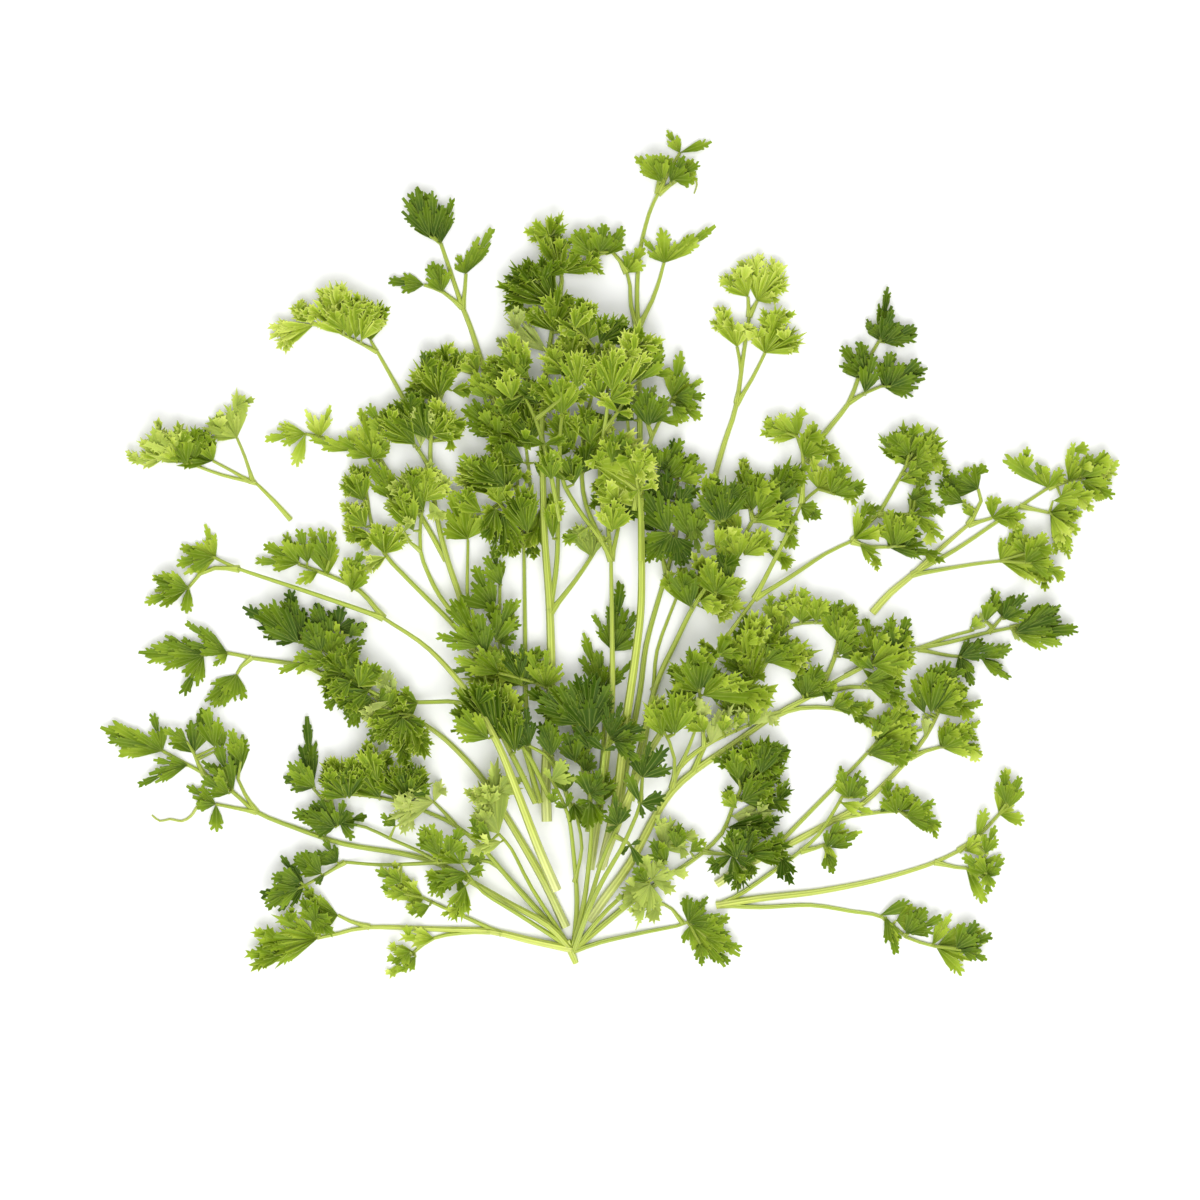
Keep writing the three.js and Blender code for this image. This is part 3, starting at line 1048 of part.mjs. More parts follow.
// A thin blade: a fan of triangles from its hub, the same on both faces. It ends in a root sunk
// in its stem, or runs on as a flat strip down the arm that it grows from.
function bladeSolid(blade, nodes) {
  const hub = nodes[blade.hub];
  const root = nodes[blade.root];
  const positions = [];
  const triangles = [];
  const add = ([x, y, z]) => {
    positions.push([x, y, z + bladeThickness / 2], [x, y, z - bladeThickness / 2]);
    return positions.length - 2;
  };
  const face = (a, b, c) => triangles.push([a, b, c], [a + 1, c + 1, b + 1]);
  const centre = add([...hub.p, hub.z]);
  const rim = blade.rim.map((id) => add([...nodes[id].p, nodes[id].z]));
  if (blade.tip) {
    const [left, right] = stripSides(blade.tip.map((id) => nodes[id]));
    const [leftIds, rightIds] = [left.map(add), right.map(add)];
    for (let k = 0; k + 1 < leftIds.length; k++) {
      face(leftIds[k], rightIds[k], rightIds[k + 1]);
      face(leftIds[k], rightIds[k + 1], leftIds[k + 1]);
    }
    const fan = [...rim, leftIds[leftIds.length - 1], rightIds[rightIds.length - 1]];
    fan.forEach((id, k) => face(centre, id, fan[(k + 1) % fan.length]));
    rim.push(...leftIds.reverse(), ...rightIds);
  } else {
    const length = distance(hub.p, root.p);
    const side = [
      (hub.p[1] - root.p[1]) / length * neckWidth / 2,
      (root.p[0] - hub.p[0]) / length * neckWidth / 2,
    ];
    const wide = Math.min(...blade.turns) < -wideHeading && Math.max(...blade.turns) > wideHeading;
    const corners = wide && length < longNeck + rootDepth + blade.perch ? [0] : [-1, 1];
    rim.push(...corners.map((c) => add([root.p[0] + side[0] * c, root.p[1] + side[1] * c, root.z])));
    rim.forEach((id, k) => face(centre, id, rim[(k + 1) % rim.length]));
  }
  rim.forEach((a, k) => {
    const b = rim[(k + 1) % rim.length];
    triangles.push([a, a + 1, b + 1], [a, b + 1, b]);
  });
  return solidFrom(positions, triangles);
}

// Join solids that cross into one, and fill any pocket that they shut in between them.
function joined(solids) {
  const shells = solids.reduce((whole, solid) => whole.add(solid)).decompose();
  return shells.reduce((best, shell) => (shell.volume() > best.volume() ? shell : best));
}

// One leafy stem as one solid.
function sprigSolid({ nodes, paths, blades }) {
  const bars = paths.filter((path) => !path.taken);
  const solids = bars.map(({ ids }, index) => {
    const stops = ids.map((id) => nodes[id]);
    const stemSection = stops[0].radius > thickStem ? squareSection : ridgeSection;
    return barSolid(stops, index === 0 ? stemSection : ridgeSection);
  });
  for (const blade of blades) {
    solids.push(bladeSolid(blade, nodes));
  }
  return joined(solids);
}

const paleGreen = new THREE.Color(0x9fbe45);
const darkGreen = new THREE.Color(0x35571a);
const crownTone = 0.45;
const leafRoughness = 0.55;

// The cut stub that the stems of the crown grow from, lying on the surface.
function crownStub() {
  const radius = crownHeight;
  const stops = [crownAt, crownEnd].map((end) => ({ p: toPlan(end), z: crownHeight, radius }));
  return barSolid(stops, hexSection);
}

function sprigMesh(name, tone, solid) {
  const { vertProperties, triVerts } = solid.getMesh();
  const geometry = new THREE.BufferGeometry();
  geometry.setAttribute('position', new THREE.Float32BufferAttribute(vertProperties, 3));
  geometry.setIndex(Array.from(triVerts));
  geometry.computeVertexNormals();
  const color = paleGreen.clone().lerp(darkGreen, tone);
  const mesh = new THREE.Mesh(geometry, new THREE.MeshStandardMaterial({
    color, roughness: leafRoughness, metalness: 0,
  }));
  mesh.name = name;
  return mesh;
}

const group = new THREE.Group();
const crownSolids = [crownStub()];
sprigs.forEach((sprig, index) => {
  const solid = sprigSolid(laySprig(sprig, index + 1));
  if (sprig.joins === 'crown') {
    crownSolids.push(solid);
  } else {
    group.add(sprigMesh(sprig.name, sprig.tone, solid));
  }
});
group.add(sprigMesh('crown', crownTone, joined(crownSolids)));

export default group;
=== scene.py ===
import math

import bpy
import numpy as np
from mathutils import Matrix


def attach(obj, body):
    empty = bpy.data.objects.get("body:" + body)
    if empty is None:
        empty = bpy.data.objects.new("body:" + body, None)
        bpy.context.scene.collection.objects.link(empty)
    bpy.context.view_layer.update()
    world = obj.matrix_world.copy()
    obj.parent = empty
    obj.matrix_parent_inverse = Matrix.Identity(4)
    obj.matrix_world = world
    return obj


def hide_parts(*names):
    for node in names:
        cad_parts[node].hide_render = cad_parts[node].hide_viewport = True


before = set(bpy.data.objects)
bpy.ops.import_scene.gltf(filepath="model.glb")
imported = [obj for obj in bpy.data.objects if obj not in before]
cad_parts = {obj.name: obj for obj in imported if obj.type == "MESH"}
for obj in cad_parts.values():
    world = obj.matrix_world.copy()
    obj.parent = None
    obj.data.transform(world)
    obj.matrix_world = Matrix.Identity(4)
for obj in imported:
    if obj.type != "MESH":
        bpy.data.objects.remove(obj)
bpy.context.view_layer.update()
print("frame loaded:", len(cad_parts), "leafy stems")

# The bunch is laid out on a flat sheet: x to the right and y down, in sheet units. A sprig has its
# stem, its arms and its leaves. A leaf is its root and then its lobes, each as (x, y) of the tip and
# half its spread in degrees. A root may also give the leaf's own tone and how much underside shows.
sheetUnit = 0.355 / 1013  # metres to a sheet unit
sheetMiddle = (611.5, 553.0)  # the sheet point that lies over the origin

sprigs = [
    dict(name="loose_west", tone=0.12, crisp=0.5, radii=(2.3, 1.3),
         stem=[(291, 519), (275, 501), (256, 482)],
         arms=[[(256, 482), (222, 474), (188, 462), (165, 457)], [(251, 480), (232, 470), (213, 460)],
               [(254, 478), (245, 456), (237, 437)]],
         leaves=[[(237, 437, 0.15, 0.4), (207, 419, 30), (237, 392, 15)],
                 [(213, 460, 0.55, 0), (198, 430, 28), (168, 447, 24)],
                 [(188, 462, 0.15, 0.4), (180, 427, 26), (150, 436, 22)],
                 [(165, 457, 0.15, 0.4), (131, 461, 16), (146, 442, 14)]]),
    dict(name="loose_east", tone=0.34, crisp=0.45, radii=(3.4, 1.5),
         stem=[(872, 612), (890, 592), (912, 574), (940, 548), (968, 524)],
         arms=[[(912, 574), (955, 549), (995, 522), (1022, 504), (1048, 487)],
               [(913, 577), (945, 568), (975, 563), (1000, 560)], [(968, 524), (981, 500), (978, 488)],
               [(968, 524), (992, 517)], [(1020, 506), (1050, 512)],
               [(1048, 487), (1068, 480), (1085, 476)]],
         leaves=[[(978, 488, 0.62, 0), (938, 483, 18), (958, 470, 9), (975, 465, 12)],
                 [(972, 516), (962, 500, 20)], [(992, 517), (991, 494, 14), (1022, 514, 30)],
                 [(1048, 487), (1036, 463, 20), (1008, 458, 7), (1062, 470, 16)],
                 [(1068, 480), (1073, 441, 11), (1088, 456, 18)],
                 [(1085, 476), (1116, 462, 28), (1108, 492, 20)],
                 [(1050, 512), (1079, 512, 32), (1068, 556, 10)],
                 [(1000, 560), (1014, 530, 20), (1043, 537, 14), (1056, 570, 20)]]),
    dict(name="north_east_pale", tone=0.27, crisp=0.8, radii=(2.8, 1.5),
         stem=[(705, 522), (715, 475), (725, 440), (736, 405), (744, 350), (749, 316)],
         arms=[[(737, 402), (741, 372), (737, 346)], [(737, 404), (752, 378), (765, 352)],
               [(749, 316), (748, 296)], [(749, 316), (757, 300)]],
         leaves=[[(737, 346), (716, 308, 13), (731, 318, 14), (746, 322, 16)],
                 [(765, 352), (753, 327, 20), (777, 308, 20), (802, 334, 20)],
                 [(748, 296), (721, 276, 16), (738, 264, 18)],
                 [(757, 300), (755, 253, 16), (784, 266, 22), (778, 294, 18)]]),
    dict(name="north_east_dark", tone=0.75, crisp=0.3, radii=(2.6, 1.4),
         stem=[(806, 462), (822, 436), (848, 403), (858, 378), (872, 352), (879, 340)],
         arms=[[(849, 402), (865, 392), (882, 385)]],
         leaves=[[(858, 378), (844, 350, 24), (866, 346, 18)],
                 [(882, 385), (893, 354, 20), (926, 370, 22), (913, 393, 10)],
                 [(879, 340), (866, 319, 16), (889, 286, 9), (916, 331, 24)]]),
    dict(name="north_west_pale", tone=0.23, crisp=0.9, radii=(2.4, 1.3),
         stem=[(432, 440), (412, 412), (395, 382), (378, 352), (371, 340)],
         arms=[[(377, 351), (352, 338), (330, 327), (314, 324)]],
         leaves=[[(371, 340, 0.5, 0), (380, 301, 18), (357, 298, 24)],
                 [(345, 334), (331, 283, 24), (314, 308, 18)],
                 [(314, 324), (296, 301, 20), (270, 337, 18)]]),
    dict(name="far_east_low", tone=0.68, crisp=0.3, radii=(2.4, 1.4),
         stem=[(845, 675), (880, 657), (915, 648), (950, 641), (985, 632), (1010, 627)],
         arms=[[(918, 648), (945, 637), (974, 629)], [(918, 649), (952, 655), (980, 656)],
               [(988, 631), (1002, 616)], [(1010, 627), (1030, 621)]],
         leaves=[[(974, 629, 0.3, 1), (984, 612, 26)], [(1002, 616), (991, 587, 12), (1014, 596, 22)],
                 [(1010, 627, 0.3, 1), (1028, 641, 18)],
                 [(1030, 621), (1053, 606, 22), (1075, 630, 12), (1057, 641, 12)],
                 [(958, 655), (983, 640, 24), (970, 682, 22)],
                 [(980, 656), (1009, 648, 12), (1009, 676, 12)]]),
    dict(name="west_flat", tone=0.85, crisp=0.08, radii=(2.2, 1.4),
         stem=[(372, 686), (352, 668), (330, 652), (302, 638)],
         arms=[[(340, 659), (339, 643), (338, 628)]],
         leaves=[[(302, 638), (290, 593, 19), (245, 607, 13), (266, 637, 11)],
                 [(338, 628), (317, 605, 18), (342, 606, 13), (365, 625, 24)]]),
    dict(name="west_low", tone=0.5, crisp=0.1, radii=(2.6, 1.5),
         stem=[(380, 706), (352, 690), (322, 673), (300, 664), (252, 657), (228, 652), (204, 654)],
         arms=[[(252, 657), (241, 666), (237, 673)]],
         leaves=[[(204, 654), (165, 634, 10), (145, 651, 18), (184, 692, 18)],
                 [(228, 652), (185, 620, 9), (188, 642, 14)], [(228, 653), (214, 664, 22)],
                 [(237, 673), (213, 706, 28), (245, 699, 8)]]),
    dict(name="west_pale", tone=0.25, crisp=0.2, radii=(1.8, 1.2),
         stem=[(380, 700), (360, 680), (342, 664), (322, 655)],
         arms=[[(348, 669), (343, 658), (341, 648)]],
         leaves=[[(322, 655), (313, 624, 15), (282, 669, 13)], [(341, 648), (336, 622, 20)]]),
    dict(name="centre_right", tone=0.85, crisp=0.35, radii=(3, 1.6),
         stem=[(618, 815), (630, 745), (640, 690), (646, 645), (658, 600), (670, 560), (677, 525),
               (677, 472)],
         arms=[[(671, 556), (686, 540), (692, 522)], [(666, 572), (660, 548), (655, 530)]],
         leaves=[[(677, 472), (650, 446, 18), (672, 437, 16), (696, 455, 20)],
                 [(692, 522, 0.6, 0.2), (684, 500, 16), (712, 502, 16), (698, 550, 16)],
                 [(655, 530), (645, 556, 16), (640, 520, 14), (668, 508, 14)],
                 [(676, 500), (656, 484, 14), (700, 486, 12)]]),
    dict(name="behind_centre", tone=0.6, crisp=0.2, radii=(2.2, 1.3),
         stem=[(596, 830), (602, 760), (606, 700), (613, 650)],
         arms=[[(604, 715), (602, 690)]],
         leaves=[[(613, 650), (594, 612, 10), (620, 582, 11), (637, 612, 12), (636, 640, 10)],
                 [(602, 690), (582, 634, 12), (600, 650, 14), (634, 660, 10)]]),
    dict(name="north_west_dark", tone=0.6, crisp=0.2, radii=(2.9, 1.6),
         stem=[(500, 418), (482, 362), (470, 325), (462, 305), (452, 275), (441, 243)],
         arms=[[(462, 307), (443, 291), (424, 284)], [(463, 307), (465, 288), (466, 273)]],
         leaves=[[(441, 243, 0.8, 0), (410, 216, 9), (418, 189, 18), (452, 196, 8)],
                 [(443, 291), (433, 262, 34)], [(424, 284), (390, 281, 22)],
                 [(466, 273), (457, 254, 26), (477, 240, 12), (493, 227, 9)]]),
    dict(name="centre_left", tone=0.58, crisp=0.9, radii=(2.6, 1.4),
         stem=[(538, 802), (530, 760), (526, 700), (525, 620), (524, 545)],
         arms=[[(524, 545), (508, 515), (497, 495)], [(524, 545), (519, 510), (517, 470)],
               [(524, 545), (531, 500), (526, 446), (522, 420)], [(524, 545), (536, 528), (540, 510)]],
         leaves=[[(497, 495), (458, 470, 14), (478, 460, 14), (504, 460, 16)],
                 [(508, 515), (488, 532, 18), (482, 510, 10)], [(517, 470), (490, 446, 18), (530, 480, 10)],
                 [(526, 446), (484, 430, 14), (498, 408, 16), (540, 420, 14)],
                 [(522, 420), (505, 392, 18), (530, 388, 18)], [(540, 510), (530, 552, 14), (560, 495, 16)],
                 [(520, 532), (512, 556, 16)]]),
    dict(name="centre_thick", tone=0.6, crisp=0.9, radii=(4.6, 1.8),
         stem=[(547, 820), (546, 770), (551, 690), (550, 610), (545, 540), (543, 480), (542, 420),
               (546, 370), (552, 330), (558, 300)],
         arms=[[(550, 610), (557, 560), (558, 500), (558, 456)],
               [(551, 612), (575, 580), (590, 558), (598, 545)], [(558, 300), (562, 280), (561, 272)],
               [(544, 400), (520, 370), (508, 350)]],
         leaves=[[(561, 272), (545, 222, 16), (562, 240, 12), (580, 252, 12), (601, 262, 10)],
                 [(556, 305, 0.8, 0), (528, 258, 10), (543, 256, 8), (512, 266, 12), (495, 286, 10)],
                 [(552, 330), (524, 306, 16), (582, 302, 18), (560, 284, 12)],
                 [(548, 352, 0.4, 1), (508, 322, 13), (590, 330, 16)],
                 [(508, 350, 0.4, 1), (500, 338, 18), (528, 340, 16)],
                 [(520, 370), (482, 368, 16), (500, 392, 14)],
                 [(558, 456), (540, 448, 16), (572, 440, 18), (545, 470, 12)],
                 [(592, 556, 0.55, 0.5), (576, 524, 18), (600, 528, 14)]]),
    dict(name="centre_mid", tone=0.56, crisp=0.9, radii=(3.8, 1.6),
         stem=[(590, 868), (598, 815), (606, 760), (612, 700), (612, 630), (611, 560)],
         arms=[[(611, 560), (602, 541), (585, 518), (570, 495), (562, 476), (560, 440), (564, 400),
                (570, 370)],
               [(602, 541), (590, 515), (583, 490), (582, 450), (588, 410), (596, 380)],
               [(611, 560), (608, 525), (608, 503)], [(611, 560), (618, 528), (621, 510)]],
         leaves=[[(570, 370), (548, 345, 16), (572, 332, 16), (598, 345, 16)],
                 [(564, 400), (535, 385, 16), (540, 410, 12), (590, 395, 12)],
                 [(596, 380), (588, 350, 14), (615, 340, 16), (622, 370, 14)],
                 [(588, 410), (610, 425, 14), (575, 420, 12)], [(582, 450), (600, 440, 14), (574, 462, 12)],
                 [(564, 480), (552, 470, 14), (574, 476, 12)], [(608, 503), (598, 478, 18), (590, 500, 12)],
                 [(621, 510), (600, 520, 14), (625, 488, 22), (634, 512, 12)]]),
    dict(name="centre_tall", tone=0.3, crisp=0.25, radii=(4.4, 1.5),
         stem=[(602, 864), (616, 800), (626, 720), (636, 650), (641, 600), (641, 520), (640, 450),
               (639, 380), (638, 326), (637, 290), (640, 250), (649, 213), (658, 193)],
         arms=[[(638, 328), (631, 305), (630, 285), (627, 272)],
               [(638, 328), (652, 300), (660, 277), (664, 262)], [(627, 272), (620, 260), (612, 251)],
               [(658, 193), (659, 173)], [(658, 193), (668, 172), (680, 152)],
               [(658, 193), (669, 185), (678, 179)]],
         leaves=[[(627, 272), (643, 248, 30)], [(612, 251), (574, 238, 18), (590, 226, 12), (622, 228, 18)],
                 [(664, 262), (646, 240, 16), (664, 228, 10), (690, 236, 14), (714, 227, 8)],
                 [(659, 173), (636, 158, 24)], [(668, 172), (666, 155, 18)],
                 [(678, 179), (693, 158, 26), (697, 176, 18)], [(680, 152), (668, 130, 20), (711, 140, 8)]]),
    dict(name="north_right_flat", tone=0.45, crisp=0.35, radii=(2.4, 1.4),
         stem=[(634, 510), (640, 470), (652, 436), (664, 412), (672, 398)],
         arms=[[(638, 480), (630, 440), (627, 408), (634, 384), (652, 374)],
               [(652, 436), (646, 420), (643, 408)]],
         leaves=[[(672, 398), (680, 356, 20), (702, 380, 12), (701, 408, 16)],
                 [(652, 374), (640, 345, 18), (660, 342, 16), (672, 372, 12)],
                 [(643, 408, 0.7, 0.6), (630, 390, 16), (655, 385, 16)], [(660, 420), (683, 420, 12)],
                 [(627, 408), (608, 402, 12)]]),
    dict(name="top_dark", tone=0.78, crisp=0.9, radii=(2.2, 1.3),
         stem=[(560, 520), (548, 460), (536, 420), (524, 395), (516, 380)],
         arms=[[(536, 420), (560, 400), (580, 380)]],
         leaves=[[(516, 380), (488, 370, 16), (506, 352, 18), (530, 358, 16)],
                 [(524, 398), (500, 412, 16), (540, 396, 12)],
                 [(580, 380), (560, 368, 16), (590, 362, 14), (604, 385, 12)],
                 [(545, 445), (520, 440, 16), (566, 440, 14)]]),
    dict(name="top_curl", tone=0.5, crisp=1, radii=(2.4, 1.4),
         stem=[(604, 520), (600, 470), (604, 430), (608, 400), (606, 372)],
         arms=[[(604, 430), (622, 405), (628, 385)], [(606, 372), (596, 350), (588, 340)]],
         leaves=[[(588, 340), (560, 320, 18), (585, 302, 16), (605, 322, 16)],
                 [(606, 372), (588, 362, 14), (612, 345, 18)],
                 [(628, 385), (618, 352, 16), (645, 352, 16), (640, 330, 8)],
                 [(618, 412), (600, 398, 14), (634, 415, 12)]]),
    dict(name="bright_right", tone=0.3, crisp=0.8, radii=(2.2, 1.3),
         stem=[(640, 560), (640, 520), (638, 490), (636, 478)],
         arms=[[(638, 490), (622, 478), (612, 468)]],
         leaves=[[(636, 478), (626, 444, 18), (648, 450, 16), (652, 470, 14)],
                 [(612, 468), (590, 455, 16), (606, 436, 16), (600, 486, 12)],
                 [(638, 490), (628, 498, 14), (655, 484, 8)]]),
    dict(name="upper_west_pale", tone=0.15, crisp=0.35, radii=(2.4, 1.4),
         stem=[(446, 560), (424, 520), (400, 486), (374, 456), (350, 447), (328, 438), (306, 433)],
         arms=[[(390, 473), (378, 452)]],
         leaves=[[(306, 433), (267, 437, 17), (281, 423, 8), (296, 467, 9)],
                 [(320, 436), (307, 410, 15), (332, 404, 11)], [(350, 447), (356, 426, 16), (340, 438, 10)],
                 [(376, 453), (363, 410, 14), (388, 440, 20)]]),
    dict(name="upper_west_curl", tone=0.64, crisp=1, radii=(3, 1.6),
         stem=[(473, 650), (462, 602), (448, 560), (438, 520), (432, 480), (431, 440), (438, 400)],
         arms=[[(438, 400), (450, 378), (461, 369), (476, 374)], [(432, 470), (418, 448), (409, 438)]],
         leaves=[[(438, 399), (409, 382, 16), (420, 358, 18)], [(452, 376), (442, 347, 22), (466, 350, 18)],
                 [(452, 390), (474, 388, 22)], [(409, 438), (383, 412, 22), (405, 400, 18)],
                 [(421, 446, 0.35, 1), (424, 410, 18)],
                 [(432, 434), (442, 402, 18), (463, 417, 14), (458, 440, 8)]]),
    dict(name="mid_west_curl", tone=0.5, crisp=1, radii=(2.4, 1.4),
         stem=[(478, 652), (452, 622), (428, 598), (402, 572), (385, 553), (372, 525), (368, 500),
               (366, 488)],
         arms=[],
         leaves=[[(366, 488), (339, 486, 20), (357, 463, 22)], [(370, 512), (342, 509, 18), (364, 500, 10)],
                 [(375, 536), (345, 532, 18), (362, 548, 16)], [(385, 553), (378, 522, 22), (404, 528, 22)],
                 [(386, 556, 0.25, 0.3), (364, 567, 20)]]),
    dict(name="mid_west_bright", tone=0.38, crisp=0.8, radii=(2.2, 1.3),
         stem=[(458, 618), (440, 595), (428, 572), (421, 550), (421, 520), (425, 498)],
         arms=[[(421, 550), (410, 541), (405, 531)]],
         leaves=[[(425, 498, 0.33, 0.5), (394, 481, 18), (410, 465, 14), (432, 461, 16), (452, 480, 16)],
                 [(422, 512, 0.33, 0.5), (391, 500, 15), (404, 515, 8)],
                 [(430, 500, 0.33, 0.5), (440, 520, 14)], [(405, 531, 0.33, 0.5), (412, 518, 14)]]),
    dict(name="mid_west_small", tone=0.3, crisp=0.4, radii=(1.9, 1.2),
         stem=[(474, 648), (468, 600), (468, 540)],
         arms=[],
         leaves=[[(468, 538), (445, 528, 14), (450, 494, 18), (474, 498, 12), (488, 516, 12)]]),
    dict(name="inner_west_flat", tone=0.5, crisp=0.15, radii=(2.4, 1.4),
         stem=[(541, 801), (522, 740), (506, 690), (500, 640), (500, 585)],
         arms=[],
         leaves=[[(500, 585), (494, 547, 15)], [(495, 608), (474, 565, 18), (462, 598, 9)],
                 [(500, 634), (491, 603, 11), (519, 599, 13), (523, 621, 8)]]),
    dict(name="inner_west_mid", tone=0.6, crisp=0.25, radii=(2.4, 1.4),
         stem=[(552, 800), (528, 752), (508, 726), (492, 700), (482, 660), (482, 645)],
         arms=[],
         leaves=[[(482, 645), (452, 600, 18), (439, 635, 14), (470, 625, 12)],
                 [(484, 668), (455, 668, 16), (500, 650, 14)],
                 [(492, 700, 0.3, 0), (455, 690, 18), (505, 675, 16)],
                 [(505, 724), (456, 710, 12), (456, 730, 10), (525, 692, 14)]]),
    dict(name="west_band", tone=0.72, crisp=1, radii=(2.6, 1.5),
         stem=[(536, 801), (515, 758), (492, 718), (462, 701), (420, 701), (392, 698), (368, 688),
               (345, 672)],
         arms=[],
         leaves=[[(418, 702), (402, 688, 16), (392, 722, 20)],
                 [(395, 699, 0.5, 1), (382, 672, 22), (366, 724, 22)],
                 [(370, 689), (362, 664, 20), (340, 704, 22)],
                 [(348, 674), (352, 648, 22), (322, 690, 18), (324, 652, 18)]]),
    dict(name="west_mid", tone=0.66, crisp=0.9, radii=(4, 1.8),
         stem=[(566, 926), (545, 882), (520, 838), (498, 802), (478, 772), (445, 738), (412, 714)],
         arms=[],
         leaves=[[(412, 714), (422, 738, 18), (396, 742, 18), (378, 730, 12)],
                 [(410, 716), (428, 752, 8), (402, 758, 12)]]),
    dict(name="west_arch", tone=0.3, crisp=0.35, radii=(4.4, 1.6),
         stem=[(557, 888), (540, 848), (518, 790), (498, 740), (470, 693), (430, 648), (384, 617)],
         arms=[[(384, 617), (350, 605), (300, 588), (240, 568), (216, 557)],
               [(240, 568), (215, 567), (200, 573), (189, 586)],
               [(384, 617), (360, 590), (328, 574), (298, 563)]],
         leaves=[[(216, 557), (205, 525, 13), (180, 545, 18), (186, 573, 14)],
                 [(189, 586), (153, 576, 13), (146, 602, 16), (186, 613, 11)],
                 [(298, 563), (286, 533, 20), (258, 560, 15)], [(328, 574), (311, 529, 13), (334, 531, 12)],
                 [(318, 571), (297, 582, 20)], [(352, 590), (346, 560, 14), (368, 574, 12)],
                 [(350, 586), (346, 556, 18), (366, 568, 14)]]),
    dict(name="east_small", tone=0.32, crisp=0.7, radii=(2.2, 1.3),
         stem=[(632, 800), (645, 742), (653, 690), (657, 650), (672, 608), (676, 598)],
         arms=[[(653, 690), (675, 645), (692, 608), (698, 600)]],
         leaves=[[(676, 598), (664, 572, 16), (688, 570, 16)],
                 [(698, 600), (685, 575, 16), (704, 560, 16), (724, 575, 16), (742, 588, 10)],
                 [(700, 606), (727, 612, 12), (742, 604, 8)]]),
    dict(name="east_bright", tone=0.48, crisp=0.5, radii=(3, 1.5),
         stem=[(626, 810), (640, 748), (656, 684), (676, 640), (694, 604), (714, 575), (736, 551),
               (753, 519), (776, 499)],
         arms=[[(736, 551), (750, 547), (764, 547)], [(753, 519), (748, 500), (746, 490)],
               [(753, 519), (770, 520), (786, 526)], [(722, 566), (716, 540), (716, 520)]],
         leaves=[[(776, 499), (778, 462, 14), (798, 464, 14), (800, 485, 12)],
                 [(746, 490), (740, 458, 14), (762, 474, 14)], [(748, 508), (728, 482, 16), (712, 500, 12)],
                 [(760, 513), (792, 508, 14)], [(786, 526), (799, 530, 14), (794, 548, 12)],
                 [(746, 548, 0.2, 0), (728, 530, 18), (770, 532, 18)], [(764, 547), (794, 562, 8)],
                 [(716, 520), (700, 478, 14), (720, 482, 12), (704, 512, 12)],
                 [(716, 545, 0.2, 0), (722, 528, 18), (704, 548, 12)]]),
    dict(name="east_fan", tone=0.37, crisp=0.5, radii=(4, 1.6),
         stem=[(600, 866), (628, 795), (652, 745), (680, 705), (703, 672), (722, 642), (754, 598)],
         arms=[[(754, 598), (775, 557), (790, 527), (801, 503), (818, 488)],
               [(754, 598), (790, 576), (825, 553), (852, 540)],
               [(801, 503), (803, 470), (802, 452), (797, 436)],
               [(852, 540), (865, 525), (878, 513), (892, 490), (906, 465)],
               [(878, 513), (895, 514), (912, 513)], [(852, 541), (870, 546), (888, 546)]],
         leaves=[[(797, 436), (760, 431, 16), (776, 415, 12), (797, 411, 12)],
                 [(803, 456), (808, 424, 16), (826, 432, 12), (838, 452, 12)],
                 [(818, 488, 0.2, 0), (812, 458, 18), (838, 464, 18), (862, 485, 16)],
                 [(801, 503), (817, 511, 18)], [(854, 538), (868, 500, 14), (882, 530, 12)],
                 [(860, 544), (880, 563, 18)],
                 [(888, 546, 0.7, 0), (893, 516, 14), (916, 528, 16), (934, 552, 12)],
                 [(912, 513), (918, 484, 18), (943, 508, 14), (944, 540, 10)], [(900, 480), (925, 474, 20)],
                 [(906, 465), (880, 434, 14), (904, 424, 16), (935, 432, 18), (945, 460, 16)],
                 [(906, 460), (892, 458, 14)]]),
    dict(name="south_east_pale", tone=0.33, crisp=0.45, radii=(3.6, 1.6),
         stem=[(716, 883), (750, 862), (795, 840), (830, 821), (862, 803), (885, 782), (909, 757),
               (926, 735), (938, 712)],
         arms=[[(770, 851), (795, 826), (840, 780), (858, 762), (876, 742)],
               [(832, 820), (850, 815), (880, 811), (900, 810)], [(909, 757), (925, 750), (940, 746)]],
         leaves=[[(876, 742), (880, 714, 12), (905, 706, 18), (918, 730, 12)],
                 [(868, 753, 0.25, 1), (915, 748, 12)],
                 [(900, 810), (897, 782, 14), (918, 795, 14), (938, 826, 12)],
                 [(880, 811, 0.7, 0), (890, 800, 20)],
                 [(938, 712), (918, 676, 14), (938, 660, 16), (958, 680, 16), (978, 703, 12)],
                 [(925, 736, 0.25, 1), (925, 715, 10)],
                 [(940, 746), (949, 718, 16), (975, 722, 14), (980, 745, 14)]]),
    dict(name="south_east_long", tone=0.3, crisp=0.3, radii=(3.4, 1.6),
         stem=[(716, 904), (760, 897), (820, 890), (880, 878), (930, 863), (958, 850)],
         arms=[[(720, 902), (745, 890), (780, 865), (800, 850), (818, 833), (832, 812), (842, 795)],
               [(718, 905), (760, 906), (810, 904), (850, 910), (882, 916), (906, 936), (934, 945)],
               [(800, 850), (815, 847), (826, 843)], [(958, 850), (975, 837), (990, 823), (999, 813)],
               [(935, 862), (955, 866), (966, 867)]],
         leaves=[[(842, 795), (840, 766, 14), (860, 770, 14), (868, 789, 12)], [(840, 801), (871, 811, 14)],
                 [(828, 838), (845, 822, 18), (859, 831, 12)], [(828, 843), (832, 868, 18)],
                 [(966, 850), (983, 834, 24), (995, 845, 16)], [(976, 836), (985, 806, 9)],
                 [(999, 813), (1006, 770, 13), (1020, 787, 11), (1014, 803, 12), (1025, 820, 12)],
                 [(966, 867), (1000, 857, 14), (988, 878, 18), (985, 904, 7)],
                 [(880, 914, 0.7, 0), (909, 901, 11)], [(896, 919), (925, 908, 22), (926, 930, 18)],
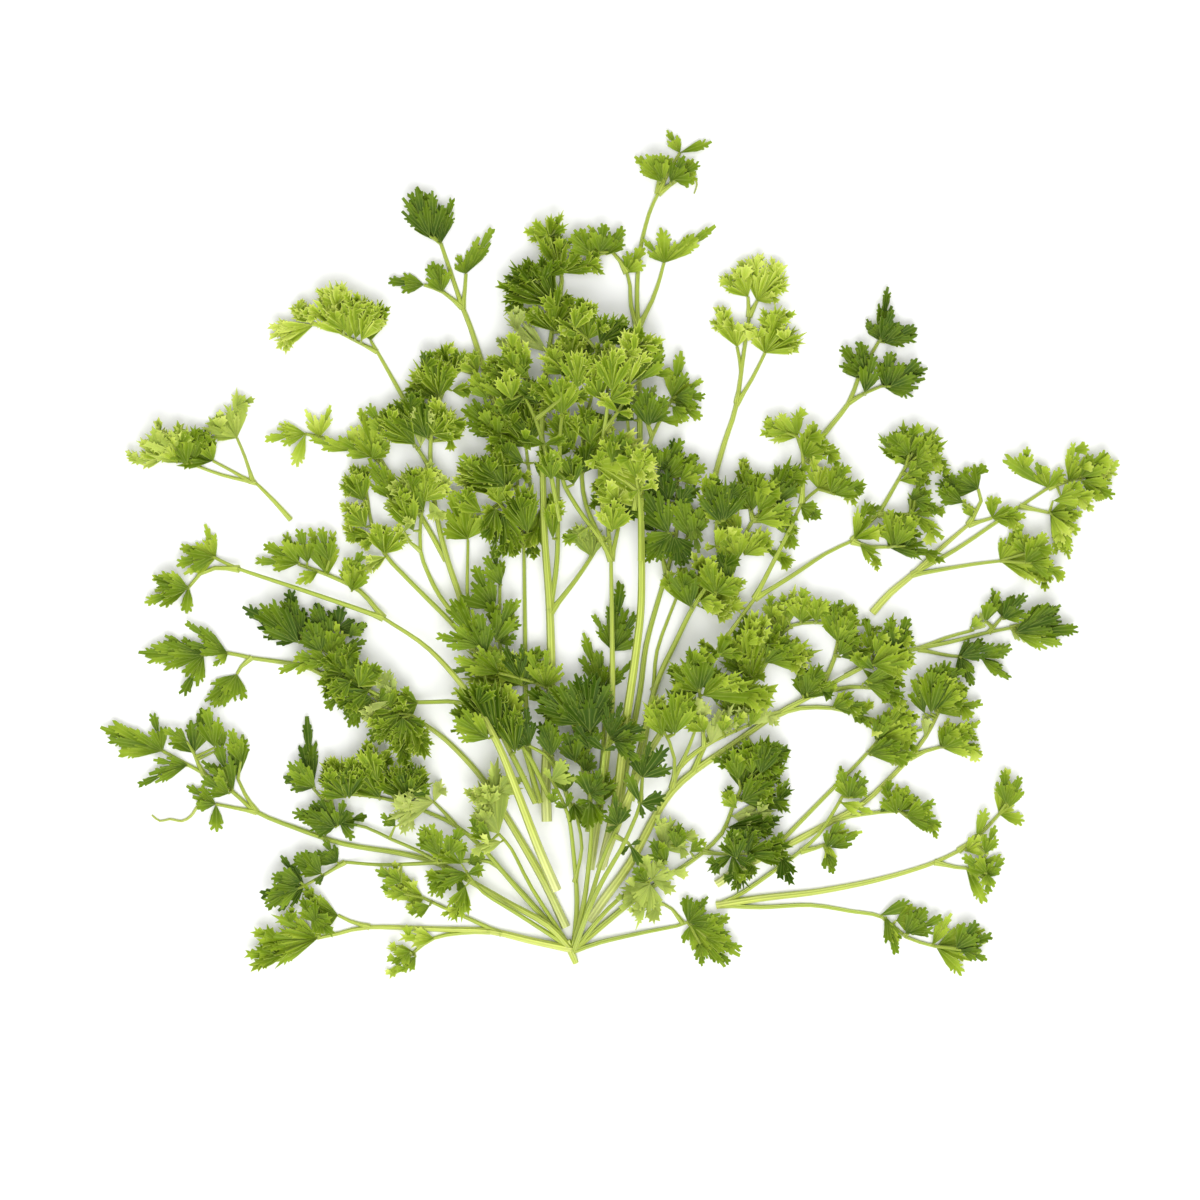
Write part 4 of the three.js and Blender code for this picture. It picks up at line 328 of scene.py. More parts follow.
                 [(884, 917), (897, 944, 16)], [(932, 944), (950, 912, 13)],
                 [(936, 946), (984, 930, 20), (980, 952, 13), (963, 972, 8)]]),
    dict(name="east_main", tone=0.38, crisp=0.5, radii=(4.2, 1.7),
         stem=[(589, 920), (604, 898), (630, 862), (655, 815), (672, 790), (694, 770), (730, 745),
               (775, 714), (812, 694), (850, 672), (885, 656)],
         arms=[[(820, 688), (834, 658), (838, 640), (837, 626)], [(812, 694), (850, 686), (872, 687)],
               [(775, 714), (800, 707), (832, 707), (860, 714)],
               [(694, 770), (706, 742), (730, 708), (760, 672), (782, 632), (802, 622), (824, 622)],
               [(885, 656), (874, 640), (872, 625)]],
         leaves=[[(803, 697, 0.65, 0), (797, 668, 14), (818, 668, 18), (835, 680, 10)],
                 [(837, 626), (828, 602, 16), (850, 606, 14), (860, 622, 10)],
                 [(836, 650), (862, 634, 16), (866, 652, 12)], [(872, 630), (862, 618, 12), (880, 625, 12)],
                 [(885, 656), (880, 636, 12), (892, 614, 14), (908, 628, 14), (915, 655, 18)],
                 [(862, 668), (852, 650, 16), (876, 680, 12)],
                 [(872, 687), (900, 675, 16), (906, 702, 14), (890, 700, 10)],
                 [(832, 707), (850, 692, 18), (862, 702, 12)], [(860, 714), (870, 700, 14), (880, 728, 16)],
                 [(782, 632, 0.25, 0), (764, 604, 14), (782, 596, 14), (794, 588, 8)],
                 [(802, 622), (802, 598, 14), (820, 600, 14)], [(824, 622), (838, 612, 16)],
                 [(768, 662, 0.25, 0), (790, 634, 14), (815, 652, 10), (800, 638, 10)],
                 [(749, 685), (742, 630, 12), (754, 612, 12), (768, 630, 10), (760, 668, 12)],
                 [(724, 716), (730, 690, 16), (755, 698, 10)]]),
    dict(name="inner_east", tone=0.46, crisp=0.55, radii=(2.8, 1.4),
         stem=[(671, 787), (679, 766), (704, 745), (725, 734), (748, 724)],
         arms=[[(673, 780), (674, 757), (669, 740), (661, 725)], [(680, 765), (690, 742), (697, 722)],
               [(704, 745), (701, 712), (699, 690), (705, 672), (718, 653)]],
         leaves=[[(661, 725, 0.3, 0.5), (645, 706, 18), (654, 692, 14), (672, 702, 16)],
                 [(697, 722, 0.3, 1), (676, 712, 16), (688, 692, 16), (708, 700, 12)],
                 [(710, 742, 0.3, 1), (715, 712, 16), (732, 706, 14)],
                 [(748, 724, 0.3, 1), (738, 706, 14), (762, 704, 14), (776, 712, 8)],
                 [(699, 690, 0.7, 0), (668, 668, 16), (672, 692, 14)],
                 [(700, 684, 0.7, 0), (690, 652, 16), (706, 648, 12)],
                 [(702, 694), (722, 672, 16), (740, 670, 14), (770, 690, 9)],
                 [(718, 653), (700, 642, 10), (726, 634, 16), (742, 652, 16)]]),
    dict(name="inner_pale", tone=0.42, crisp=0.4, radii=(2.2, 1.3),
         stem=[(586, 790), (578, 740), (560, 695), (530, 680), (500, 672)],
         arms=[],
         leaves=[[(500, 672), (458, 656, 16), (478, 645, 12)],
                 [(520, 677, 0.9, 0), (505, 646, 14), (522, 645, 12)],
                 [(546, 686), (528, 652, 14), (546, 650, 12), (564, 662, 14)]]),
    dict(name="inner_dark_west", tone=0.97, crisp=0.3, radii=(2.4, 1.4),
         stem=[(574, 815), (560, 775), (545, 752), (530, 744)],
         arms=[[(560, 775), (552, 755), (550, 745)]],
         leaves=[[(530, 744), (502, 726, 12), (508, 704, 14), (528, 706, 12)],
                 [(550, 745), (540, 722, 12), (556, 722, 12)]]),
    dict(name="inner_dark_mid", tone=1, crisp=0.4, radii=(2.6, 1.5),
         stem=[(588, 830), (590, 790), (584, 745), (572, 722)],
         arms=[[(586, 755), (594, 730), (596, 715)]],
         leaves=[[(572, 722), (532, 692, 14), (545, 715, 10), (560, 688, 14)],
                 [(596, 715), (578, 682, 14), (596, 672, 12), (610, 690, 14)],
                 [(580, 735), (568, 742, 12), (590, 732, 12)]]),
    dict(name="inner_dark_east", tone=0.95, crisp=0.25, radii=(2.4, 1.4),
         stem=[(600, 820), (602, 780), (604, 752), (610, 735)],
         arms=[],
         leaves=[[(610, 735), (606, 702, 12), (622, 700, 12), (645, 724, 16), (634, 752, 8)],
                 [(604, 748), (588, 735, 12), (616, 745, 10)]]),
    dict(name="south_west_pale", tone=0.14, crisp=0.5, radii=(3.4, 1.5), node="crown",
         stem=[(573, 949), (530, 939), (490, 930), (440, 928), (370, 926), (340, 932), (318, 937)],
         arms=[[(370, 926), (350, 920), (338, 914)], [(502, 932), (470, 918), (445, 907), (424, 897)],
               [(490, 931), (460, 932), (434, 937), (415, 950), (402, 962)]],
         leaves=[[(338, 914, 0.45, 0), (302, 889, 10), (306, 907, 14), (316, 926, 16)],
                 [(318, 937, 0.4, 0), (278, 915, 15), (260, 942, 16), (256, 964, 7)],
                 [(424, 897), (380, 867, 13), (386, 892, 8), (406, 906, 18), (404, 880, 8)],
                 [(434, 937), (402, 934, 22)], [(414, 951), (389, 947, 15)], [(402, 962), (388, 976, 12)]]),
    dict(name="far_west_low", tone=0.58, crisp=0.1, radii=(3, 1.5), node="crown",
         stem=[(573, 949), (548, 923), (512, 903), (478, 884), (440, 863), (400, 852), (345, 843),
               (296, 827), (257, 811), (232, 790), (205, 773), (185, 762), (163, 750)],
         arms=[[(257, 811), (245, 793), (238, 778)], [(257, 811), (236, 807), (216, 803)],
               [(205, 773), (198, 762), (194, 752)]],
         leaves=[[(163, 750), (107, 730, 16), (119, 753, 4), (154, 713, 17)],
                 [(188, 764), (157, 760, 16), (137, 783, 8)], [(194, 752), (171, 737, 12), (203, 707, 18)],
                 [(234, 788), (217, 745, 18), (204, 760, 12)], [(238, 778), (233, 738, 8), (245, 734, 8)],
                 [(216, 803), (188, 785, 16), (198, 805, 14), (218, 829, 13)]]),
    dict(name="south_west_dark", tone=0.8, crisp=0.1, radii=(2.5, 1.4), node="crown",
         stem=[(573, 949), (545, 917), (515, 884), (490, 860), (455, 860), (418, 862), (380, 863),
               (345, 861)],
         arms=[[(440, 861), (418, 849), (392, 838), (366, 826), (340, 821)],
               [(345, 861), (325, 873), (305, 884)], [(340, 821), (325, 801), (313, 787)]],
         leaves=[[(340, 821), (297, 812, 20), (318, 834, 8), (354, 838, 11), (365, 815, 22)],
                 [(334, 812, 0.3, 1), (325, 795, 18)], [(313, 787), (306, 720, 9), (284, 775, 24)],
                 [(338, 861), (325, 838, 20), (304, 852, 14)],
                 [(305, 884), (281, 853, 12), (265, 893, 18), (280, 908, 14)],
                 [(325, 873), (317, 882, 14)]]),
    dict(name="south_west_curl", tone=0.66, crisp=1, radii=(2.5, 1.4), node="crown",
         stem=[(573, 949), (530, 901), (505, 872), (480, 843), (455, 824), (430, 812), (400, 801),
               (370, 795), (345, 793)],
         arms=[[(400, 801), (388, 788), (380, 772)], [(455, 824), (445, 812), (434, 801)]],
         leaves=[[(345, 793), (334, 788, 16), (322, 766, 20), (345, 760, 16)],
                 [(370, 795), (350, 775, 14), (365, 754, 16)], [(380, 772), (366, 746, 16), (390, 752, 14)],
                 [(400, 800, 0.95, 0), (398, 768, 20), (422, 770, 20)],
                 [(434, 801, 0.35, 1), (442, 780, 12), (412, 790, 14), (388, 818, 14)]]),
    dict(name="south_west_mid", tone=0.45, crisp=0.6, radii=(2.2, 1.3), node="crown",
         stem=[(573, 949), (520, 913), (484, 890), (468, 872)],
         arms=[],
         leaves=[[(462, 862), (424, 838, 12), (440, 850, 14), (460, 838, 12)],
                 [(468, 872), (430, 878, 18), (484, 866, 18)], [(466, 884), (455, 920, 24)]]),
    dict(name="south_west_frill", tone=0.33, crisp=0.9, radii=(2.1, 1.3), node="crown",
         stem=[(573, 949), (532, 886), (512, 848), (499, 832)],
         arms=[],
         leaves=[[(499, 832, 0.33, 0.6), (474, 806, 18), (480, 780, 12), (494, 766, 9)],
                 [(502, 840, 0.33, 0.6), (476, 845, 18)]]),
    dict(name="south_east_curl", tone=0.6, crisp=0.4, radii=(2.2, 1.4), node="crown",
         stem=[(573, 949), (600, 941), (645, 931), (676, 925), (688, 921)],
         arms=[[(683, 922), (672, 908), (662, 902)]],
         leaves=[[(688, 921), (688, 894, 12), (708, 895, 14), (728, 918, 12)],
                 [(690, 924, 0.5, 0), (732, 932, 10), (734, 950, 12), (724, 962, 8), (703, 958, 12),
                  (684, 940, 12)]]),
    dict(name="south_east_dark", tone=0.78, crisp=0.7, radii=(2.8, 1.5), node="crown",
         stem=[(573, 949), (610, 918), (640, 894), (678, 869), (702, 852), (722, 832), (732, 808),
               (741, 788)],
         arms=[[(704, 851), (725, 853), (745, 852)]],
         leaves=[[(741, 788), (728, 750, 10), (748, 745, 12), (768, 738, 14), (786, 762, 12)],
                 [(738, 798), (722, 788, 12), (775, 780, 16), (790, 800, 14)],
                 [(732, 815, 0.5, 1), (750, 818, 16), (770, 810, 14)],
                 [(728, 826), (758, 838, 16), (780, 822, 14)],
                 [(745, 852), (752, 835, 12), (790, 842, 16), (794, 858, 8)],
                 [(732, 853), (708, 868, 14), (735, 882, 12), (758, 868, 12), (745, 886, 6)]]),
    dict(name="south_east_frill", tone=0.36, crisp=0.6, radii=(2.4, 1.4), node="crown",
         stem=[(573, 949), (598, 918), (618, 898), (640, 884), (652, 878)],
         arms=[[(640, 884), (658, 860), (668, 842)]],
         leaves=[[(652, 878, 0.36, 0.6), (640, 852, 14), (660, 852, 14), (680, 868, 14), (674, 890, 12)],
                 [(650, 882, 0.36, 0.6), (622, 888, 10), (620, 906, 12), (638, 924, 12), (660, 916, 12)],
                 [(664, 848, 0.36, 0.6), (658, 812, 10), (672, 816, 10), (694, 828, 14), (690, 846, 12)]]),
    dict(name="crown_left", tone=0.55, crisp=0.3, radii=(2.4, 1.4), node="crown",
         stem=[(573, 949), (577, 900), (573, 845), (568, 812), (556, 785), (550, 774)],
         arms=[[(577, 880), (582, 845), (578, 820), (574, 802)]],
         leaves=[[(552, 778, 0.4, 0.4), (546, 766, 12), (566, 758, 14), (580, 776, 14)],
                 [(566, 806), (556, 800, 14), (572, 790, 10)],
                 [(574, 802), (590, 822, 14), (570, 820, 12), (605, 812, 10)]]),
    dict(name="crown_mid", tone=0.74, crisp=0.3, radii=(2.6, 1.5), node="crown",
         stem=[(573, 949), (584, 900), (590, 850), (592, 810), (590, 792)],
         arms=[],
         leaves=[[(590, 792), (580, 770, 14), (600, 765, 16), (616, 782, 14), (604, 800, 12)],
                 [(590, 798), (576, 800, 12), (588, 824, 14), (600, 820, 12)]]),
    dict(name="crown_right", tone=0.9, crisp=0.3, radii=(2.6, 1.5), node="crown",
         stem=[(573, 949), (590, 898), (601, 860), (612, 834), (618, 822)],
         arms=[[(614, 832), (628, 840), (632, 846)]],
         leaves=[[(618, 822), (604, 812, 12), (614, 790, 14), (628, 806, 14), (605, 828, 10)],
                 [(630, 842), (618, 850, 12), (640, 838, 12), (640, 862, 10)]]),
    dict(name="crown_tall", tone=0.88, crisp=0.15, radii=(2.6, 1.6), node="crown",
         stem=[(573, 949), (589, 905), (605, 872), (621, 845), (636, 812), (640, 800)],
         arms=[[(640, 800), (642, 775)]],
         leaves=[[(642, 775), (630, 752, 9), (648, 742, 12), (666, 744, 9), (670, 766, 10)],
                 [(640, 800), (628, 772, 9), (664, 792, 14), (656, 806, 10), (642, 814, 10)]]),
]

# Leaves that fill out the thick of the bunch, each on the nearest stem: root, tip, half spread in
# degrees and tone.
infill = [
    (558, 332, 560, 298, 40, 0.4), (575, 330, 586, 306, 26, 0.5), (600, 344, 622, 318, 42, 0.85),
    (612, 344, 640, 332, 26, 0.8), (572, 358, 572, 330, 44, 0.35), (528, 374, 508, 340, 26, 0.4),
    (530, 378, 502, 358, 26, 0.5), (508, 400, 486, 364, 26, 0.38), (512, 400, 506, 370, 26, 0.45),
    (538, 404, 524, 380, 40, 0.85), (568, 374, 546, 350, 36, 0.42), (578, 388, 582, 350, 38, 0.45),
    (612, 392, 612, 352, 30, 0.5), (628, 386, 628, 346, 24, 0.3), (640, 380, 654, 344, 34, 0.55),
    (562, 414, 560, 378, 40, 0.45), (600, 400, 592, 374, 34, 0.6), (610, 402, 632, 386, 34, 0.5),
    (634, 420, 610, 402, 24, 0.85), (648, 426, 646, 390, 30, 0.7), (650, 424, 666, 396, 26, 0.65),
    (518, 432, 490, 404, 34, 0.5), (530, 438, 528, 402, 40, 0.7), (574, 448, 556, 412, 30, 0.55),
    (592, 444, 580, 406, 28, 0.6), (590, 442, 608, 418, 26, 0.5), (524, 462, 492, 446, 26, 0.75),
    (505, 486, 476, 458, 36, 0.75), (508, 486, 512, 460, 36, 0.7), (503, 505, 486, 482, 16, 0.4),
    (498, 502, 512, 482, 24, 0.42), (534, 462, 554, 474, 24, 0.75), (552, 480, 548, 452, 34, 0.6),
    (574, 484, 568, 454, 30, 0.7), (584, 472, 592, 442, 36, 0.7), (594, 464, 652, 462, 34, 0.28),
    (590, 468, 620, 442, 30, 0.4), (612, 462, 624, 432, 36, 0.6), (616, 500, 642, 484, 36, 0.14),
    (618, 502, 598, 482, 34, 0.3), (612, 530, 614, 500, 42, 0.24), (622, 516, 640, 506, 30, 0.9),
    (528, 532, 516, 486, 28, 0.65), (496, 508, 488, 540, 24, 0.65), (502, 512, 512, 554, 26, 0.7),
    (553, 538, 552, 496, 12, 0.6), (578, 534, 562, 541, 18, 0.7), (672, 532, 646, 558, 34, 0.65),
    (674, 536, 686, 564, 36, 0.8), (668, 532, 648, 492, 28, 0.7), (668, 502, 656, 470, 36, 0.95),
    (680, 502, 692, 484, 34, 0.9), (690, 536, 678, 500, 26, 0.6), (694, 534, 702, 506, 26, 0.55),
    (680, 480, 706, 466, 28, 0.4), (720, 522, 710, 480, 26, 0.8), (724, 520, 734, 480, 26, 0.75),
    (752, 510, 744, 464, 14, 0.6), (752, 510, 762, 472, 14, 0.6), (758, 510, 776, 480, 24, 0.5),
    (768, 508, 796, 464, 20, 0.7), (756, 520, 794, 508, 28, 0.4), (770, 522, 796, 528, 16, 0.55),
    (740, 534, 718, 510, 32, 0.35), (738, 558, 724, 528, 38, 0.3), (745, 554, 768, 530, 34, 0.3),
    (730, 580, 720, 550, 28, 0.8), (716, 594, 704, 560, 28, 0.4), (716, 592, 740, 578, 32, 0.45),
    (690, 606, 678, 568, 28, 0.65), (700, 600, 722, 606, 30, 0.25), (520, 684, 466, 658, 26, 0.5),
    (522, 684, 500, 650, 30, 0.45), (524, 684, 540, 652, 40, 0.75), (500, 736, 466, 684, 26, 0.85),
    (502, 734, 488, 684, 20, 0.8), (504, 722, 508, 682, 34, 0.35), (490, 736, 456, 714, 30, 0.5),
    (516, 750, 508, 706, 22, 0.85), (518, 748, 530, 716, 20, 0.8), (582, 722, 542, 690, 30, 0.8),
    (580, 722, 562, 686, 28, 0.8), (590, 730, 588, 674, 34, 0.9), (552, 754, 548, 720, 28, 0.75),
    (590, 748, 584, 718, 40, 0.85), (612, 742, 630, 714, 34, 0.6), (612, 740, 644, 734, 20, 0.65),
    (614, 740, 638, 756, 20, 0.7), (600, 802, 600, 768, 40, 0.65), (566, 790, 562, 764, 30, 0.6),
    (672, 732, 652, 698, 26, 0.45), (674, 732, 680, 690, 28, 0.5), (580, 764, 578, 738, 26, 0.6),
    (440, 396, 432, 356, 30, 0.6), (440, 396, 448, 366, 22, 0.65), (478, 372, 462, 352, 30, 0.5),
    (500, 436, 468, 404, 34, 0.6), (498, 438, 484, 412, 30, 0.5), (488, 398, 476, 372, 34, 0.4),
    (428, 438, 404, 396, 30, 0.8), (430, 436, 420, 404, 26, 0.85), (416, 444, 384, 416, 30, 0.7),
    (440, 438, 444, 402, 34, 0.38), (446, 440, 462, 424, 28, 0.4), (376, 460, 366, 420, 26, 0.4),
    (372, 456, 340, 440, 20, 0.4), (372, 458, 390, 440, 24, 0.45), (364, 500, 352, 470, 34, 0.6),
    (366, 526, 350, 506, 36, 0.55), (414, 530, 396, 488, 26, 0.5), (424, 510, 404, 470, 30, 0.6),
    (424, 498, 430, 466, 40, 0.36), (424, 500, 448, 478, 26, 0.38), (322, 650, 308, 622, 36, 0.7),
    (330, 655, 338, 630, 40, 0.6), (340, 665, 356, 642, 36, 0.65), (345, 672, 322, 676, 36, 0.75),
    (352, 680, 330, 692, 34, 0.7), (360, 685, 378, 662, 36, 0.6), (365, 690, 352, 660, 36, 0.7),
    (372, 695, 346, 712, 34, 0.7), (380, 700, 400, 690, 34, 0.55), (390, 706, 408, 692, 34, 0.6),
    (395, 710, 372, 726, 34, 0.6), (400, 712, 380, 740, 30, 0.65), (404, 716, 404, 742, 36, 0.7),
    (408, 718, 424, 734, 34, 0.65), (400, 730, 410, 756, 36, 0.6), (408, 735, 430, 750, 26, 0.5),
    (378, 780, 368, 746, 28, 0.6), (404, 796, 386, 766, 34, 0.8), (408, 796, 412, 764, 40, 0.85),
    (410, 794, 428, 776, 34, 0.8), (346, 796, 324, 772, 36, 0.75), (350, 796, 348, 764, 36, 0.75),
    (380, 796, 360, 768, 36, 0.7),
    (772, 616, 768, 596, 26, 0.4), (786, 616, 782, 594, 24, 0.35), (800, 620, 800, 590, 36, 0.35),
    (815, 620, 820, 596, 36, 0.35), (836, 640, 832, 604, 26, 0.5), (838, 642, 850, 612, 30, 0.4),
    (840, 650, 856, 634, 26, 0.6), (752, 656, 746, 614, 26, 0.8), (754, 658, 764, 628, 24, 0.75),
    (770, 640, 776, 622, 20, 0.5), (748, 674, 722, 640, 26, 0.5), (750, 674, 738, 656, 20, 0.45),
    (764, 662, 790, 636, 26, 0.6), (766, 660, 812, 650, 22, 0.4), (698, 690, 672, 662, 26, 0.5),
    (698, 688, 690, 646, 20, 0.65), (700, 688, 706, 646, 18, 0.65), (716, 702, 716, 666, 24, 0.7),
    (720, 700, 734, 672, 20, 0.6), (736, 700, 736, 670, 16, 0.65), (738, 700, 758, 680, 14, 0.5),
    (738, 702, 768, 694, 12, 0.45), (686, 720, 672, 686, 24, 0.7), (688, 720, 686, 688, 20, 0.6),
    (662, 734, 650, 698, 26, 0.4), (702, 730, 682, 714, 24, 0.3), (704, 730, 700, 712, 22, 0.3),
    (722, 730, 724, 712, 26, 0.35), (735, 728, 742, 710, 20, 0.35), (750, 724, 758, 704, 18, 0.4),
    (730, 712, 728, 694, 26, 0.6), (738, 778, 732, 748, 24, 0.6), (752, 772, 745, 748, 24, 0.6),
    (760, 772, 768, 738, 30, 0.75), (764, 770, 784, 766, 28, 0.8), (742, 800, 770, 780, 36, 0.7),
    (736, 806, 722, 790, 26, 0.5), (802, 694, 800, 668, 24, 0.6), (806, 692, 820, 664, 28, 0.6),
    (820, 690, 836, 680, 20, 0.5), (872, 654, 866, 620, 16, 0.5), (874, 652, 880, 630, 18, 0.5),
    (892, 652, 888, 616, 22, 0.65), (894, 652, 906, 616, 22, 0.65), (838, 654, 852, 634, 22, 0.6),
    (840, 656, 868, 648, 18, 0.55), (872, 668, 858, 656, 18, 0.6), (870, 664, 908, 648, 26, 0.4),
    (872, 664, 912, 664, 20, 0.4), (862, 682, 900, 676, 26, 0.55), (866, 684, 902, 694, 16, 0.6),
    (832, 706, 852, 692, 22, 0.5), (834, 706, 862, 704, 20, 0.6), (852, 708, 868, 722, 26, 0.65),
    (876, 738, 884, 712, 22, 0.65), (878, 738, 908, 706, 26, 0.5), (880, 736, 916, 728, 20, 0.4),
    (868, 752, 896, 740, 18, 0.7), (870, 754, 914, 752, 14, 0.6), (924, 712, 912, 680, 16, 0.6),
    (930, 712, 930, 662, 16, 0.6), (934, 710, 946, 664, 18, 0.7), (936, 706, 962, 684, 26, 0.45),
    (938, 706, 978, 704, 14, 0.45), (936, 704, 966, 696, 16, 0.7), (942, 746, 950, 722, 22, 0.5),
    (944, 746, 968, 722, 24, 0.4), (944, 746, 980, 748, 16, 0.3), (986, 620, 998, 590, 14, 0.5),
    (984, 620, 988, 602, 20, 0.5), (1002, 618, 1022, 594, 24, 0.75), (1004, 618, 1028, 614, 16, 0.6),
    (1014, 632, 1056, 608, 22, 0.75), (1016, 632, 1074, 628, 14, 0.7), (1016, 634, 1058, 642, 16, 0.5),
    (960, 656, 992, 644, 20, 0.8), (960, 657, 972, 682, 20, 0.75), (980, 656, 1010, 648, 12, 0.7),
    (982, 658, 1006, 676, 14, 0.6), (970, 626, 980, 618, 26, 0.4), (908, 454, 888, 434, 30, 0.55),
    (908, 452, 914, 424, 30, 0.5), (912, 452, 930, 434, 30, 0.5), (916, 456, 938, 450, 26, 0.45),
    (908, 474, 926, 462, 30, 0.6), (912, 478, 930, 480, 30, 0.65), (914, 500, 936, 506, 26, 0.6),
    (910, 498, 926, 490, 30, 0.65), (892, 546, 890, 510, 26, 0.4), (895, 545, 912, 512, 24, 0.45),
    (905, 545, 912, 536, 26, 0.7), (661, 182, 646, 156, 30, 0.45), (663, 180, 660, 154, 20, 0.4),
    (670, 182, 684, 158, 22, 0.55), (672, 180, 698, 164, 20, 0.55), (674, 180, 692, 180, 20, 0.6),
    (312, 322, 292, 306, 22, 0.3), (350, 338, 352, 300, 24, 0.3), (356, 338, 366, 298, 24, 0.4),
    (362, 340, 380, 306, 20, 0.35), (345, 330, 330, 310, 24, 0.35), (160, 458, 140, 440, 26, 0.2),
    (178, 462, 165, 432, 26, 0.25), (188, 463, 178, 424, 20, 0.45), (192, 462, 196, 426, 22, 0.45),
    (214, 460, 204, 438, 22, 0.3),
    (213, 556, 180, 562, 24, 0.45), (190, 588, 155, 577, 26, 0.5), (330, 560, 322, 529, 24, 0.4),
    (308, 562, 302, 530, 22, 0.45), (300, 562, 268, 545, 24, 0.4), (352, 572, 362, 552, 34, 0.55),
    (300, 642, 262, 604, 22, 0.75), (302, 634, 288, 598, 24, 0.75), (332, 640, 312, 606, 26, 0.75),
    (350, 634, 366, 622, 26, 0.7), (345, 648, 368, 640, 18, 0.65), (330, 662, 297, 652, 22, 0.55),
    (388, 722, 372, 740, 40, 0.6), (362, 700, 350, 724, 34, 0.6), (345, 690, 328, 706, 34, 0.65),
    (316, 786, 291, 762, 26, 0.5), (345, 784, 328, 758, 28, 0.5), (362, 780, 346, 757, 26, 0.55),
    (412, 786, 405, 760, 28, 0.6), (416, 786, 423, 764, 24, 0.6), (336, 826, 303, 812, 26, 0.75),
    (338, 824, 312, 800, 26, 0.8), (339, 824, 343, 801, 26, 0.75), (396, 824, 382, 812, 26, 0.5),
    (440, 852, 424, 822, 30, 0.55), (450, 852, 462, 826, 28, 0.5), (492, 838, 470, 822, 22, 0.55),
    (470, 862, 484, 852, 30, 0.55), (322, 872, 297, 853, 34, 0.65), (302, 880, 273, 874, 28, 0.7),
    (300, 886, 264, 899, 24, 0.6), (316, 920, 303, 897, 26, 0.55), (312, 914, 334, 931, 30, 0.5),
    (402, 880, 380, 868, 26, 0.5), (405, 892, 383, 889, 22, 0.45), (450, 868, 432, 892, 34, 0.55),
    (456, 868, 462, 889, 34, 0.55), (430, 904, 408, 912, 22, 0.5), (410, 950, 393, 961, 34, 0.5),
    (416, 955, 402, 971, 24, 0.45), (216, 746, 208, 706, 20, 0.5), (224, 746, 214, 722, 24, 0.55),
    (188, 740, 166, 727, 22, 0.5), (230, 792, 205, 778, 28, 0.6), (228, 780, 212, 768, 22, 0.55),
    (242, 760, 232, 728, 18, 0.5), (675, 402, 700, 418, 26, 0.5), (672, 406, 688, 421, 24, 0.5),
    (676, 396, 704, 396, 24, 0.5), (664, 470, 680, 440, 24, 0.6), (660, 466, 652, 444, 22, 0.6),
    (668, 476, 698, 454, 22, 0.55), (592, 256, 575, 230, 34, 0.45), (600, 252, 604, 225, 32, 0.45),
    (606, 254, 624, 229, 24, 0.45), (430, 236, 408, 192, 20, 0.75), (434, 236, 433, 194, 18, 0.75),
    (492, 482, 458, 460, 24, 0.6), (482, 512, 454, 492, 22, 0.55), (385, 432, 370, 405, 26, 0.55),
    (350, 450, 310, 438, 10, 0.3), (396, 500, 372, 462, 22, 0.5), (502, 584, 486, 556, 20, 0.6),
    (496, 640, 512, 600, 20, 0.65), (500, 642, 517, 634, 26, 0.65), (486, 652, 481, 612, 20, 0.7),
    (530, 662, 540, 646, 26, 0.65), (866, 376, 842, 348, 24, 0.8), (866, 376, 858, 344, 24, 0.8),
    (864, 392, 873, 358, 20, 0.8), (886, 386, 888, 352, 22, 0.8), (890, 386, 918, 360, 20, 0.75),
    (880, 340, 892, 310, 18, 0.85), (885, 342, 914, 326, 20, 0.8), (880, 336, 866, 322, 24, 0.8),
    (916, 466, 942, 455, 24, 0.5), (916, 466, 938, 436, 26, 0.5), (830, 492, 845, 464, 26, 0.5),
    (834, 494, 864, 482, 22, 0.5), (814, 446, 812, 422, 26, 0.4), (816, 448, 836, 446, 24, 0.4),
    (786, 432, 762, 422, 24, 0.35), (800, 506, 820, 516, 34, 0.55), (962, 502, 935, 488, 22, 0.6),
    (1052, 500, 1094, 494, 14, 0.3), (1060, 496, 1078, 482, 22, 0.3), (1080, 480, 1113, 496, 22, 0.45),
    (1080, 476, 1106, 453, 24, 0.5), (1050, 512, 1076, 530, 24, 0.3), (1050, 514, 1068, 550, 16, 0.3),
    (1024, 562, 1045, 534, 24, 0.4), (1026, 552, 1015, 529, 26, 0.4), (1030, 562, 1058, 572, 22, 0.45),
    (1030, 632, 1056, 605, 18, 0.75), (1005, 802, 1003, 768, 20, 0.5), (1008, 806, 1018, 776, 18, 0.45),
    (984, 852, 993, 824, 20, 0.45), (986, 872, 964, 854, 26, 0.45), (985, 876, 1002, 858, 22, 0.5),
    (986, 872, 987, 892, 28, 0.5), (896, 812, 884, 784, 26, 0.5), (900, 810, 906, 786, 26, 0.5),
    (906, 814, 932, 800, 22, 0.5), (906, 816, 942, 822, 16, 0.45), (848, 796, 840, 768, 26, 0.5),
    (852, 796, 864, 776, 28, 0.5), (765, 762, 787, 746, 30, 0.75), (750, 760, 745, 742, 34, 0.75),
    (826, 846, 836, 822, 22, 0.7), (830, 846, 856, 833, 18, 0.65), (826, 852, 832, 872, 26, 0.7),
    (736, 856, 729, 828, 34, 0.75), (746, 852, 750, 824, 30, 0.8), (700, 932, 728, 915, 20, 0.5),
    (706, 936, 738, 946, 20, 0.5), (706, 942, 728, 960, 20, 0.55), (700, 942, 702, 964, 22, 0.5),
    (886, 916, 896, 950, 16, 0.6), (905, 932, 926, 908, 26, 0.6), (908, 932, 940, 916, 20, 0.6),
    (955, 946, 976, 920, 24, 0.65), (956, 946, 990, 934, 20, 0.65), (960, 948, 984, 956, 20, 0.6),
    (666, 862, 652, 839, 26, 0.6), (676, 846, 680, 821, 26, 0.65), (646, 880, 634, 866, 28, 0.55),
